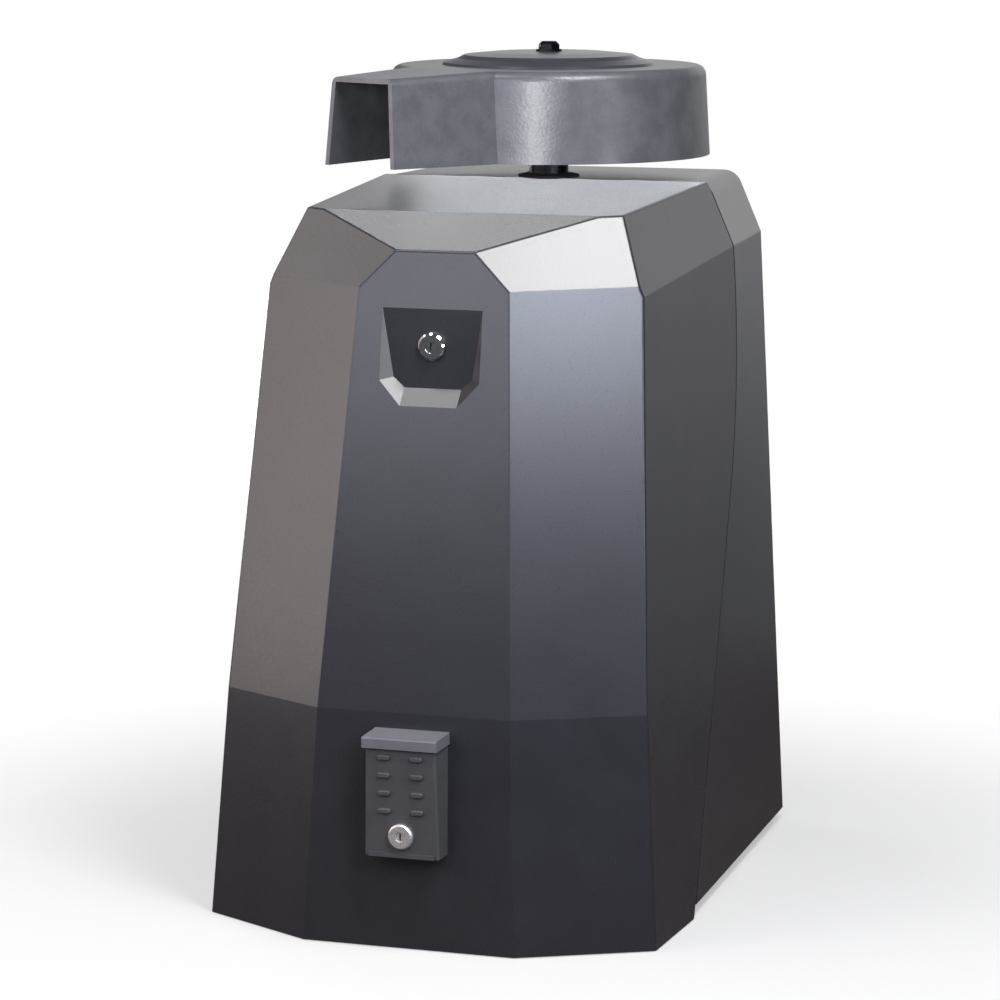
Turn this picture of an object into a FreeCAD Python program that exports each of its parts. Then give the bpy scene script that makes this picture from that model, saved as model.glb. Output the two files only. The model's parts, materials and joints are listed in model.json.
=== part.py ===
import FreeCAD, Part
import math
import os

# Swing gate operator on a base plate, in millimetres.
# Origin: centre of the four anchor holes, on the mounting face. +Z up, front towards -Y.

V = FreeCAD.Vector
UP = V(0, 0, 1)
BACK = V(0, 1, 0)
RIGHT = V(1, 0, 0)

# Fits
fit = 0.3                   # between pieces that move past each other
running = 0.05              # radial, shaft in bearing
screw_fit = 0.1             # radial, screw in its tapped hole
hole_fit = 0.4              # radial, screw in its clearance hole

# Housing, outside faces; its heights hang down from the roof
roof_z = 688.5              # roof at the seam and behind it
foot_y = -305.0             # front panel at the mounting face
crease_y = -287.5           # crease between lower and upper front panel
crease_z = 221.0
panel_top_y = -219.0        # top edge of the upper front panel
panel_top_drop = 42.5
brow_top_y = -146.0         # front edge of the roof
brow_top_drop = 12.5
foot_half = 104.0           # half width of the front panel at the foot
crease_half = 94.5
shoulder_half = 73.5        # where the upper corners of the panel are cut off
shoulder_drop = 78.0
panel_top_half = 38.0
roof_front_half = 139.0
bevel_angle = 28.0          # corner bevels, seen from above
side_half = 223.0           # side face at the bevel's foot
side_y = -243.5
side_flare = 2.6            # degrees that the sides open towards the seam
side_lean = 3.8             # degrees that the sides lean in
chamfer_drop = 63.0         # lower edge of the roof chamfer at the seam
chamfer_front_drop = 90.5   # and at its front end
chamfer_run = 27.0          # width of the roof chamfer at the seam, seen from above
rear_y = 295.0
rear_lean = 0.4
rear_draw = 7.0             # rear corners inside the side faces, at the mounting face
rear_side_lean = 2.85
edge_round = 4.0
rear_edge_round = 8.0
rear_roof_round = 20.0
wall = 4.0
front_lift = 0.5            # bottom edges above the mounting face
rear_lift = 12.0

# Seam between the shells, seen from the side
seam_top_y = 120.0
seam_foot_y = -124.0
seam_angle = 26.2
seam_radius = 516.0
seam_gap = 4.5
lip_reach = 14.0
lip_wall = 3.0

# Lock recess in the upper front panel, and the key lock
recess_drop = 95.5          # top of the recess below the roof
recess_height = 67.0        # its straight sides
recess_chin = 23.0          # its sloped lower corners
recess_half = 49.0
recess_bottom_half = 28.0
recess_slope = 45.0         # walls beside the recess, from square to the panel
recess_ledge_slope = 56.0   # and the ledge at its bottom
lock_drop = 35.0            # lock below the top of the recess
lock_head_r = 13.0
lock_head_h = 6.0
lock_barrel_r = 9.5
lock_barrel_l = 26.0
lock_plug_r = 6.0
lock_nut_h = 6.0
keyway_width = 1.8
cam_length = 38.0
cam_width = 14.0
cam_thickness = 3.0
strike_gap = 2.0
strike_thickness = 4.0
strike_width = 32.0
strike_gusset = 40.0
strike_screw_pitch = 19.0

# Key box on the lower front panel
key_box_z = 92.0            # bottom of the box
key_box_height = 110.5
key_box_half = 37.0         # at the panel
key_box_depth = 22.5        # at the bottom
key_box_depth_top = 35.5
key_box_taper = 0.5         # per side, from panel to face
key_box_lean = 2.5          # per side, from bottom to top
key_box_wall = 2.5
key_box_round = 2.5
hood_reach = 39.0
hood_lip = 7.0
hood_wall = 3.0
hood_half = 36.5
hood_cheek = 1.5
hood_slope = 1.0
key_lip = 2.5               # ledge along the foot of the box
key_lip_height = 4.0
louvre_drop = 15.5          # first row below the top
louvre_width = 12.0
louvre_height = 5.0
louvre_depth = 3.0
louvre_pitch = 17.0
louvre_half = 16.0
louvre_rows = 4
key_rise = 20.5             # key switch above the bottom
key_head_r = 12.0
key_head_h = 5.0
key_barrel_r = 8.0
key_barrel_l = 22.0
key_plug_r = 5.0
key_plug_sunk = 1.5
sounder_r = 22.0
sounder_h = 14.0

# Arm hub
hub_y = 138.0
hub_gap = 24.0              # between roof and hub
hub_height = 89.5
drum_r = 163.0
drum_draft = 5.0
drum_round = 10.0
hub_wall = 6.0
neck_turn = 26.0            # degrees from straight ahead, to the left
neck_inside = 60.0          # where the neck starts inside the drum
neck_root = 147.2
neck_root_half = 69.9
neck_end = 267.0
neck_end_half = 47.7
neck_draft = 8.0            # per side, from bottom to top
neck_end_lean = 4.0
neck_drop = 4.0
neck_round = 8.0
neck_wall = 5.0
socket_half = 32.0          # the gate arm's tube between the guides
guide_wall = 7.0
guide_set_back = 92.0
boss_r = 48.0
boss_drop = 1.0             # boss below the drum's rim
rib_wall = 8.0
rib_depth = 42.0
disc_r = 108.0
disc_height = 13.0
disc_bead_r = 92.0          # foot of the bead around the crown
hub_bolt_r = 6.0
hub_bolt_across = 19.0
hub_bolt_head = 8.0
hub_bolt_bite = 36.0        # thread in the shaft's end
hub_washer_r = 13.0
hub_washer_h = 2.0

# Output shaft and reducer
shaft_r = 22.5
shaft_top_r = 20.0
shaft_short = 7.0           # shaft's end below the hub's top
shaft_collar = 6.0
collar_h = 8.0
roof_gap = 30.0             # between the upper limit cam and the roof
deck_thickness = 12.0
gear_module = 4.0
wheel_teeth = 40
worm_pitch_r = 20.0
wheel_width = 26.0
wheel_hub_r = 36.0
wheel_rim = 12.0
wheel_hole_r = 8.0
backlash = 1.8
worm_turns = 6
worm_run_out = 14.0         # plain shaft beside the thread
box_floor = 22.0            # casting below the wheel chamber
box_foot = 14.0
chamber_height = 88.0
chamber_gap = 5.0
chamber_wall = 11.0
cover_thickness = 12.0
cover_bolt_r = 4.0
cap_bolt_r = 2.5
bearing_r = 37.5
bearing_h = 16.0
seal_r = 31.0
seal_h = 10.0
seal_step = 4.0
worm_bearing_r = 26.0
worm_bearing_h = 15.0
worm_journal_r = 12.5
nose_step = 1.5
tunnel_wall = 11.0
tunnel_spigot = 12.0
cap_thickness = 8.0
oil_plug_r = 8.0
oil_plug_angle = 20.0

# Belt drive and motor
pulley_gap = 15.0           # from the worm's end cap to the pulley
pulley_width = 20.0
pulley_rim = 8.0
pulley_relief = 6.0
drive_pulley_r = 60.0
motor_pulley_r = 30.0
belt_sunk = 1.5             # belt's back below the pulley's rim
belt_width = 12.0
belt_height = 8.0
belt_angle = 18.0           # flank of the belt's section
motor_x = 60.0
motor_z = 270.0
motor_r = 80.0
motor_skin = 6.0
motor_gap = 4.0             # from the pulley to the end bell
motor_length = 150.0
motor_shaft_r = 8.5
motor_bearing_r = 20.0
motor_bearing_h = 12.0
rotor_r = 45.0
air_gap = 0.8
core_inset = 30.0           # stator core from the ends of the shell
winding_length = 16.0
winding_gap = 8.0
bell_depth = 22.0
bell_wall = 4.0
bell_boss_r = 30.0
vent_r = 6.5
cradle_half = 62.0
cradle_wall = 6.0
cradle_rib = 20.0
cradle_rise = 24.0
cradle_drop = 10.0
cradle_inset = 20.0
small_bolt_r = 4.0
shelf_wall = 8.0
shelf_flange = 50.0
capacitor_r = 20.0
capacitor_length = 95.0
capacitor_angle = 125.0

# Limit cams and switches
limit_cam_gap = 10.0        # above the shaft seal
limit_cam_pitch = 15.0
limit_cam_h = 8.0
limit_cam_r = 30.0
limit_lobe = 8.0
limit_lobe_angle = 24.0
limit_turns = (60.0, -75.0)
lever_room = 22.0           # between the cam's lobe and the switch
switch_size = 28.0
switch_depth = 16.0
switch_height = 10.0
switch_ear = 1.2
roller_r = 3.0
lever_wall = 1.2
bracket_wall = 3.0
bracket_half = 24.0

# Chassis
base_half_x = 185.0
base_front_y = -225.0
base_rear_gap = 23.0
base_thickness = 10.0
base_round = 20.0
anchor_x = 300.0            # spacing of the anchor holes
anchor_y = 380.0
anchor_r = 7.0
conduit_half = 70.0
conduit_depth = 70.0
conduit_inset = 40.0
frame_x = 157.0             # inner face of the side frames
frame_wall = 6.0
frame_flange = 45.0
frame_gap = 14.0            # from the drive pulley to the frames
frame_rear_gap = 27.0
frame_margin = 45.0         # around the window in each frame
window_z = 250.0
window_top_margin = 70.0
tongue_reach = 50.0         # of the deck, forward under the lock strike
tongue_half = 30.0
bolt_r = 5.0
bolt_head_r = 8.0
bolt_head_h = 6.0
standoff_r = 9.0
cover_screw_r = 3.0
cover_screw_spots = (0.23, 0.91)    # of the deck's height

# Controls
tray_y = -62.0              # back of the control tray
tray_half = 150.0
tray_top_z = 410.0
tray_wall = 2.0
tray_flange = 24.0
tray_foot = 30.0
board_half = 110.0
board_height = 190.0
board_drop = 20.0           # below the tray's top edge
board_thickness = 1.6
board_standoff = 12.0
board_post_r = 3.0
board_post_inset = 8.0
relay_width = 28.0
relay_depth = 24.0
relay_pitch = 36.0
plug_width = 18.0
plug_depth = 10.0
plug_pitch = 24.0
can_r = 9.0
can_h = 26.0
chip_width = 40.0
chip_depth = 4.0
terminal_pitch = 15.0
terminal_depth = 16.0
terminal_height = 18.0
terminal_hole_r = 3.2
transformer_x = -92.0
transformer_z = 74.0
transformer_width = 80.0
transformer_height = 68.0
transformer_depth = 62.0
transformer_limb = 14.0
coil_bulge = 14.0
outlet_x = 10.0             # left edge of the outlet box
outlet_z = 30.0
outlet_width = 120.0
outlet_height = 105.0
outlet_depth = 52.0
outlet_wall = 2.0
puck_width = 40.0           # face of one receptacle
puck_height = 30.0
puck_pitch = 40.0
puck_x = 78.0               # middle of the receptacles, from the box's left edge
toggle_x = 22.0             # middle of the power switch, likewise
toggle_width = 10.0
toggle_length = 17.0
toggle_pivot_r = 4.5
toggle_tilt = 14.0

# Worked out from the sizes above
panel_top_z = roof_z - panel_top_drop
brow_top_z = roof_z - brow_top_drop
shoulder_z = roof_z - shoulder_drop
chamfer_z = roof_z - chamfer_drop
recess_top_z = roof_z - recess_drop
recess_corner_z = recess_top_z - recess_height
recess_bottom_z = recess_corner_z - recess_chin
lock_z = recess_top_z - lock_drop
seam_bend_y = seam_top_y - seam_radius * (1 - math.cos(math.radians(seam_angle)))
seam_low_z = (seam_bend_y - seam_foot_y) / math.tan(math.radians(seam_angle))
seam_bend_z = seam_low_z + seam_radius * math.sin(math.radians(seam_angle))
hub_bottom_z = roof_z + hub_gap
hub_top_z = hub_bottom_z + hub_height
shaft_top_z = hub_top_z - shaft_short
limit_cams_top_z = roof_z - wall - roof_gap
limit_cam_z = limit_cams_top_z - limit_cam_h - limit_cam_pitch
seal_z = limit_cam_z - limit_cam_gap - seal_h
cover_z = seal_z - seal_step - bearing_h
chamber_z = cover_z - chamber_height
deck_top_z = chamber_z - box_floor
deck_z = deck_top_z - deck_thickness
shaft_step_z = seal_z + seal_h + 0.2 * limit_cam_gap
worm_z = chamber_z + chamber_height / 2
wheel_r = gear_module * wheel_teeth / 2
worm_x = wheel_r + worm_pitch_r
tooth_height = 0.9 * gear_module
tooth_depth = 1.2 * gear_module
gear_pitch = math.pi * gear_module
tooth_half = (gear_pitch - backlash) / 4
wheel_tip_r = wheel_r + tooth_height
chamber_r = wheel_tip_r + chamber_gap
box_r = chamber_r + chamber_wall
flange_r = box_r + 2.5 * cover_bolt_r
tunnel_r = worm_bearing_r + tunnel_wall
worm_half = worm_turns * gear_pitch / 2 + worm_run_out
tunnel_half = worm_half + worm_bearing_h + tunnel_spigot
pulley_y = hub_y - tunnel_half - cap_thickness - pulley_gap - pulley_width / 2
motor_front_y = pulley_y + pulley_width / 2 + motor_gap + bell_depth
motor_rear_y = motor_front_y + motor_length
cradle_z = motor_z - motor_r - cradle_drop
frame_front_y = pulley_y + pulley_width / 2 + frame_gap
frame_rear_y = rear_y - frame_rear_gap
base_rear_y = rear_y - base_rear_gap
strike_right = -cam_width
strike_left = strike_right - strike_width
switch_x = -(limit_cam_r + limit_lobe + lever_room + switch_depth)
board_top_z = tray_top_z - board_drop
board_low_z = board_top_z - board_height
axis = V(0, hub_y, 0)
shaft_hole_r = 1.35 * shaft_top_r


# Small helpers for solids

def box(x0, x1, y0, y1, z0, z1):
    return Part.makeBox(x1 - x0, y1 - y0, z1 - z0, V(x0, y0, z0))


def rod(radius, start, along, length):
    return Part.makeCylinder(radius, length, start, along)


def tube(outer, inner, start, along, length):
    return rod(outer, start, along, length).cut(rod(inner, start, along, length))


def placed(shape, start, along):
    shape.Placement = FreeCAD.Placement(start, FreeCAD.Rotation(UP, along))
    return shape


def spun(profile, start=V(0, 0, 0), along=UP):
    """Turned solid from (radius, height) points, standing at start."""
    points = [V(r, 0, h) for r, h in profile]
    face = Part.Face(Part.makePolygon(points + points[:1]))
    return placed(face.revolve(V(0, 0, 0), UP, 360), start, along)


def sheet(points, push):
    """Straight prism: a closed outline of points pushed along a vector."""
    return Part.Face(Part.makePolygon(points + points[:1])).extrude(push)


def hexagon(across, start, along, length):
    r = across / math.sqrt(3)
    points = [V(r * math.cos(a), r * math.sin(a), 0) for a in (math.radians(60 * k) for k in range(6))]
    return placed(sheet(points, V(0, 0, length)), start, along)


def joined(first, *others):
    return first.fuse(list(others)).removeSplitter()


def group(shapes):
    return Part.makeCompound(list(shapes))


def rounded(shape, radius, chosen):
    """Fillet on the edges whose middle passes the test."""
    edges = [e for e in shape.Edges if chosen(e)]
    return shape.makeFillet(radius, edges)


def cap_screw(start, along, head_r, head_h, shank_r, shank):
    """Socket screw: head upward along the direction, shank the other way, hexagon socket in the head."""
    head = rod(head_r, start, along, head_h)
    body = joined(head, rod(shank_r, start - along * shank, along, shank))
    return body.cut(hexagon(head_r, start + along * (head_h * 0.4), along, head_h))


def ball_bearing(outer, inner, start, along, height):
    """Shielded ball bearing: one ring with a sunk shield on both faces."""
    a = inner + 0.3 * (outer - inner)
    b = inner + 0.7 * (outer - inner)
    sunk = 0.08 * height
    lower = [(inner, 0), (a, 0), (a, sunk), (b, sunk), (b, 0), (outer, 0)]
    upper = [(r, height - h) for r, h in reversed(lower)]
    return spun(lower + upper, start, along)


# Housing: two faceted bodies that meet along the curved seam, each hollowed to a shell

INSIDE = V(0, 0, 300)
WIDE = 500.0                # half width of the blanks that the bodies are cut from
SNAP = 0.01                 # closeness of computed offsets


def plane(p, q, r):
    """Point and outward normal of the face through three points."""
    normal = (q - p).cross(r - p)
    normal.normalize()
    if (INSIDE - p).dot(normal) > 0:
        normal = normal * -1
    return p, normal


def mirrored(face):
    p, n = face
    return V(-p.x, p.y, p.z), V(-n.x, n.y, n.z)


def trimmed(solid, faces, inset=0.0):
    """What is left of a solid inside all faces, each moved in by the inset."""
    size = 5 * WIDE
    for p, n in faces:
        tool = Part.makeBox(size, size, size, V(-size / 2, -size / 2, 0))
        solid = solid.cut(placed(tool, p - n * inset, n))
    return solid


def below(z):
    """Everything under a height."""
    return box(-WIDE, WIDE, -2 * WIDE, 2 * WIDE, -WIDE, z)


def panel_y(z):
    """Depth of the upper front panel at a height."""
    return crease_y + (z - crease_z) * (panel_top_y - crease_y) / (panel_top_z - crease_z)


def foot_panel_y(z):
    """Depth of the lower front panel at a height."""
    return foot_y + z * (crease_y - foot_y) / crease_z


def side_x(y, z):
    """Half width between the front shell's side faces at a depth and height."""
    return side_half + (y - side_y) * math.tan(math.radians(side_flare)) - z * math.tan(math.radians(side_lean))


def rear_x(z):
    """Half width of the rear face at a height."""
    return side_half - rear_draw - z * math.tan(math.radians(rear_side_lean))


def rear_face():
    rear = V(0, rear_y, 0)
    return plane(rear, rear + V(0, -math.tan(math.radians(rear_lean)), 1), rear + RIGHT)


def seam_y(z):
    """Depth of the seam at a height: upright under the roof, then an arc, then straight to the foot."""
    if z >= seam_bend_z:
        return seam_top_y
    if z >= seam_low_z:
        return seam_top_y - seam_radius + math.sqrt(seam_radius ** 2 - (seam_bend_z - z) ** 2)
    return seam_foot_y + z * math.tan(math.radians(seam_angle))


CHAMFER_LOW = V(side_x(seam_top_y, chamfer_z), seam_top_y, chamfer_z)
CHAMFER_TOP = CHAMFER_LOW + V(-chamfer_run, 0, chamfer_drop)


def front_faces():
    bevel = V(math.cos(math.radians(bevel_angle)), math.sin(math.radians(bevel_angle)), 0)
    foot = V(foot_half, foot_y, 0)
    crease = V(crease_half, crease_y, crease_z)
    shoulder = V(shoulder_half, panel_y(shoulder_z), shoulder_z)
    panel_top = V(panel_top_half, panel_top_y, panel_top_z)
    roof_front = V(roof_front_half, brow_top_y, brow_top_z)
    chamfer_front_z = roof_z - chamfer_front_drop
    chamfer_front = V(side_x(side_y, chamfer_front_z), side_y, chamfer_front_z)
    one_side = [
        plane(foot, crease, foot + bevel),
        plane(crease, shoulder, crease + bevel),
        plane(V(side_half, side_y, 0), chamfer_front, CHAMFER_LOW),
        plane(shoulder, panel_top, roof_front),
        plane(CHAMFER_LOW, CHAMFER_TOP, chamfer_front),
    ]
    middle = [
        plane(foot, crease, V(0, foot_y, 0)),
        plane(crease, panel_top, V(0, crease_y, crease_z)),
        plane(panel_top, roof_front, V(0, panel_top_y, panel_top_z)),
        plane(roof_front, V(0, brow_top_y, brow_top_z), V(0, seam_top_y, roof_z)),
        (V(0, 0, roof_z), UP),
        rear_face(),
    ]
    return middle + one_side + [mirrored(face) for face in one_side]


def front_body(inset):
    blank = box(-WIDE, WIDE, -2 * WIDE, 2 * WIDE, -wall, 2 * roof_z)
    return trimmed(blank, front_faces(), inset)


def rear_side_tool(inset):
    """What lies beyond the rear shell's right side: straight lines from the seam to the rear corner."""
    steps = 14
    heights = [roof_z * k / steps for k in range(-1, steps + 2)]
    ahead, behind = [], []
    for z in heights:
        near = V(side_x(seam_y(z), z) - inset, seam_y(z), z)
        far = V(rear_x(z) - inset, rear_y, z)
        ahead.append(near + (near - far) * 2)
        behind.append(far + (far - near) / 2)
    edges = []
    for points in (ahead, behind):
        curve = Part.BSplineCurve()
        curve.interpolate(Points=points, Parameters=heights)
        edges.append(curve.toShape())
    return Part.makeRuledSurface(*edges).extrude(RIGHT * 2 * WIDE)


def rear_body(inset):
    """Roof, chamfers and rear face are flat, the sides are ruled; the roof's long edges are rounded."""
    chamfer = plane(CHAMFER_LOW, CHAMFER_TOP, V(rear_x(chamfer_z), rear_y, chamfer_z))
    blank = box(-WIDE, WIDE, seam_foot_y - 4 * lip_reach, 2 * WIDE, -wall, 2 * roof_z)
    body = trimmed(blank, [(V(0, 0, roof_z), UP), rear_face(), chamfer, mirrored(chamfer)], inset)
    tool = rear_side_tool(inset)
    body = body.cut([tool, tool.mirror(V(0, 0, 0), RIGHT)])
    return rounded(body, rear_roof_round - inset, lambda e: e.BoundBox.ZMin > roof_z - inset - fit
                   and e.BoundBox.YLength > rear_y - seam_top_y)


def recess_faces():
    """Faces of the ledge-shaped lock recess: upright floor, sloped walls below and beside."""
    up_panel = V(0, panel_top_y - crease_y, panel_top_z - crease_z)
    up_panel.normalize()
    inward = V(0, up_panel.z, -up_panel.y)
    middle = V(0, panel_y(lock_z), lock_z)
    outline = [V(x, panel_y(z), z) for x, z in (
        (-recess_half, recess_top_z), (-recess_half, recess_corner_z), (-recess_bottom_half, recess_bottom_z),
        (recess_bottom_half, recess_bottom_z), (recess_half, recess_corner_z), (recess_half, recess_top_z))]
    faces = [(V(0, panel_y(recess_top_z), recess_top_z), BACK)]
    for start, end in zip(outline, outline[1:]):
        across = (end - start).cross(inward)
        across.normalize()
        if (middle - start).dot(across) > 0:
            across = across * -1
        slope = math.radians(recess_ledge_slope if start.z == end.z else recess_slope)
        faces.append((start, across * math.cos(slope) + inward * math.sin(slope)))
    return faces


def seam_region(shift):
    """Everything in front of the seam, moved back by the shift."""
    a = math.radians(seam_angle)
    reach = 2 * WIDE
    under = lip_reach * 4

    def bend(angle):
        return V(-reach, seam_top_y - seam_radius * (1 - math.cos(angle)),
                 seam_bend_z - seam_radius * math.sin(angle))

    foot = V(-reach, seam_foot_y - under * math.tan(a), -under)
    corners = [V(-reach, -reach, -under), V(-reach, -reach, reach), V(-reach, seam_top_y, reach)]
    wire = Part.Wire([
        Part.makeLine(corners[0], corners[1]),
        Part.makeLine(corners[1], corners[2]),
        Part.makeLine(corners[2], bend(0)),
        Part.Arc(bend(0), bend(a / 2), bend(a)).toShape(),
        Part.makeLine(bend(a), foot),
        Part.makeLine(foot, corners[0]),
    ])
    region = Part.Face(wire).extrude(V(2 * reach, 0, 0))
    region.translate(V(0, shift, 0))
    return region


def housing_shells():
    recess = recess_faces()
    blank = box(-2 * recess_half, 2 * recess_half, foot_y, brow_top_y, crease_z, roof_z)
    pocket_back = trimmed(blank, recess, -wall)
    front = front_body(edge_round).makeOffsetShape(edge_round, SNAP, join=0)
    front = front.cut(trimmed(blank, recess)).cut(front_body(wall).cut(pocket_back))
    around_shaft = axis + UP * (roof_z - 10 * wall)
    shaft_hole = rod(shaft_hole_r, around_shaft, UP, 20 * wall)
    front = front.common(seam_region(0)).cut([shaft_hole, below(front_lift)])

    hollow = rear_body(wall)
    rear = rear_body(0.0)
    rear = rounded(rear, edge_round, lambda e: e.BoundBox.YLength > rear_y - seam_top_y and e.BoundBox.ZMin > 0
                   and e.BoundBox.ZMax < roof_z - rear_roof_round)
    rear = rounded(rear, rear_edge_round, lambda e: e.BoundBox.YMin > rear_y - rear_roof_round
                   and e.BoundBox.ZMax > 0)
    rear = rear.cut(hollow).cut(seam_region(seam_gap))
    lip_back = front_body(wall + lip_wall)
    lip = front_body(wall + fit).cut(lip_back).common(seam_region(lip_reach).cut(seam_region(-lip_reach)))
    heel = hollow.cut(lip_back).common(seam_region(lip_reach).cut(seam_region(seam_gap)))
    brim = rod(shaft_hole_r + 2 * lip_wall, around_shaft, UP, 9 * wall)
    rear = joined(rear, lip.cut(brim), heel.cut(brim)).cut([shaft_hole, below(rear_lift)])
    return front, rear


def rear_cover_fasteners():
    """Standoffs on the frames' rear flanges and the screws that hold the rear shell to them."""
    point, out = rear_face()
    standoffs, screws, holes = [], [], []
    for side in (-1, 1):
        for spot in cover_screw_spots:
            start = V(side * (frame_x - frame_flange / 2), frame_rear_y, spot * deck_z)
            seat = start + BACK * ((point - start).dot(out) / out.y)
            shank = wall + 2 * standoff_r
            post = rod(standoff_r, start, BACK, (seat - start).Length - wall - fit)
            standoffs.append(post.cut(rod(cover_screw_r + screw_fit, seat - out * (shank + fit), out, shank)))
            screws.append(cap_screw(seat, out, 2.2 * cover_screw_r, cover_screw_r, cover_screw_r, shank))
            holes.append(rod(cover_screw_r + hole_fit, seat - out * 2 * wall, out, 4 * wall))
    return group(standoffs), group(screws), holes


# Front lock

def lock_parts():
    face = V(0, panel_y(recess_top_z), lock_z)
    front = face - BACK * lock_head_h
    cam_y = face.y + lock_barrel_l + fit
    bevel = 0.3 * lock_head_h
    bore = rod(lock_plug_r + running, front - BACK, BACK, 2 * lock_barrel_l)
    head = spun([(0, 0), (lock_head_r - bevel, 0), (lock_head_r, bevel), (lock_head_r, lock_head_h),
                 (0, lock_head_h)], front, BACK)
    body = joined(head, rod(lock_barrel_r, face, BACK, lock_barrel_l)).cut(bore)
    plug = rod(lock_plug_r, front + BACK, BACK, cam_y + cam_thickness - front.y - 1)
    keyway = box(-keyway_width / 2, keyway_width / 2, front.y, front.y + 2 * lock_head_h,
                 lock_z - 0.65 * lock_plug_r, lock_z + 0.65 * lock_plug_r)
    plug = plug.cut(keyway)
    cam = box(-cam_width / 2, cam_width / 2, cam_y, cam_y + cam_thickness, lock_z - cam_length, lock_z)
    cam = joined(cam, rod(cam_width / 2, V(0, cam_y, lock_z), BACK, cam_thickness)).cut(plug)
    nut = hexagon(2.5 * lock_barrel_r, face + BACK * wall, BACK, lock_nut_h)
    nut = nut.cut(rod(lock_barrel_r, face, BACK, lock_barrel_l))
    hole = rod(lock_barrel_r + hole_fit / 2, face - BACK * wall, BACK, 3 * wall)

    tab_y = cam_y - strike_gap - strike_thickness
    end_y = hub_y - box_r - strike_gap
    top = deck_top_z + strike_thickness
    run = box(strike_left, strike_right, tab_y, end_y, deck_top_z, top)
    tab = box(strike_left, strike_right, tab_y, tab_y + strike_thickness, deck_top_z, lock_z + cam_width)
    gusset = sheet([V(strike_left, tab_y, top), V(strike_left, tab_y + strike_gusset, top),
                    V(strike_left, tab_y, top + strike_gusset)], RIGHT * strike_thickness)
    strike = joined(run, tab, gusset)
    strike = rounded(strike, 2 * strike_thickness, lambda e: abs(e.BoundBox.XLength - strike_width) < 0.01
                     and abs(e.BoundBox.ZMin - deck_top_z) < 0.01 and abs(e.BoundBox.YMax - tab_y) < 0.01)
    last_y = end_y - bolt_head_r - strike_gap / 2
    spots = [V((strike_left + strike_right) / 2, y, top) for y in (last_y, last_y - strike_screw_pitch)]
    screws = [cap_screw(p, UP, bolt_head_r, bolt_head_h, bolt_r, deck_thickness) for p in spots]
    holes = [rod(bolt_r + screw_fit, p - UP * (deck_thickness + fit), UP, 2 * deck_thickness) for p in spots]
    return dict(body=body, plug=plug, cam=cam, nut=nut, strike=strike.cut(holes), hole=hole,
                strike_screws=screws, deck_holes=holes)


# Key box

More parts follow.
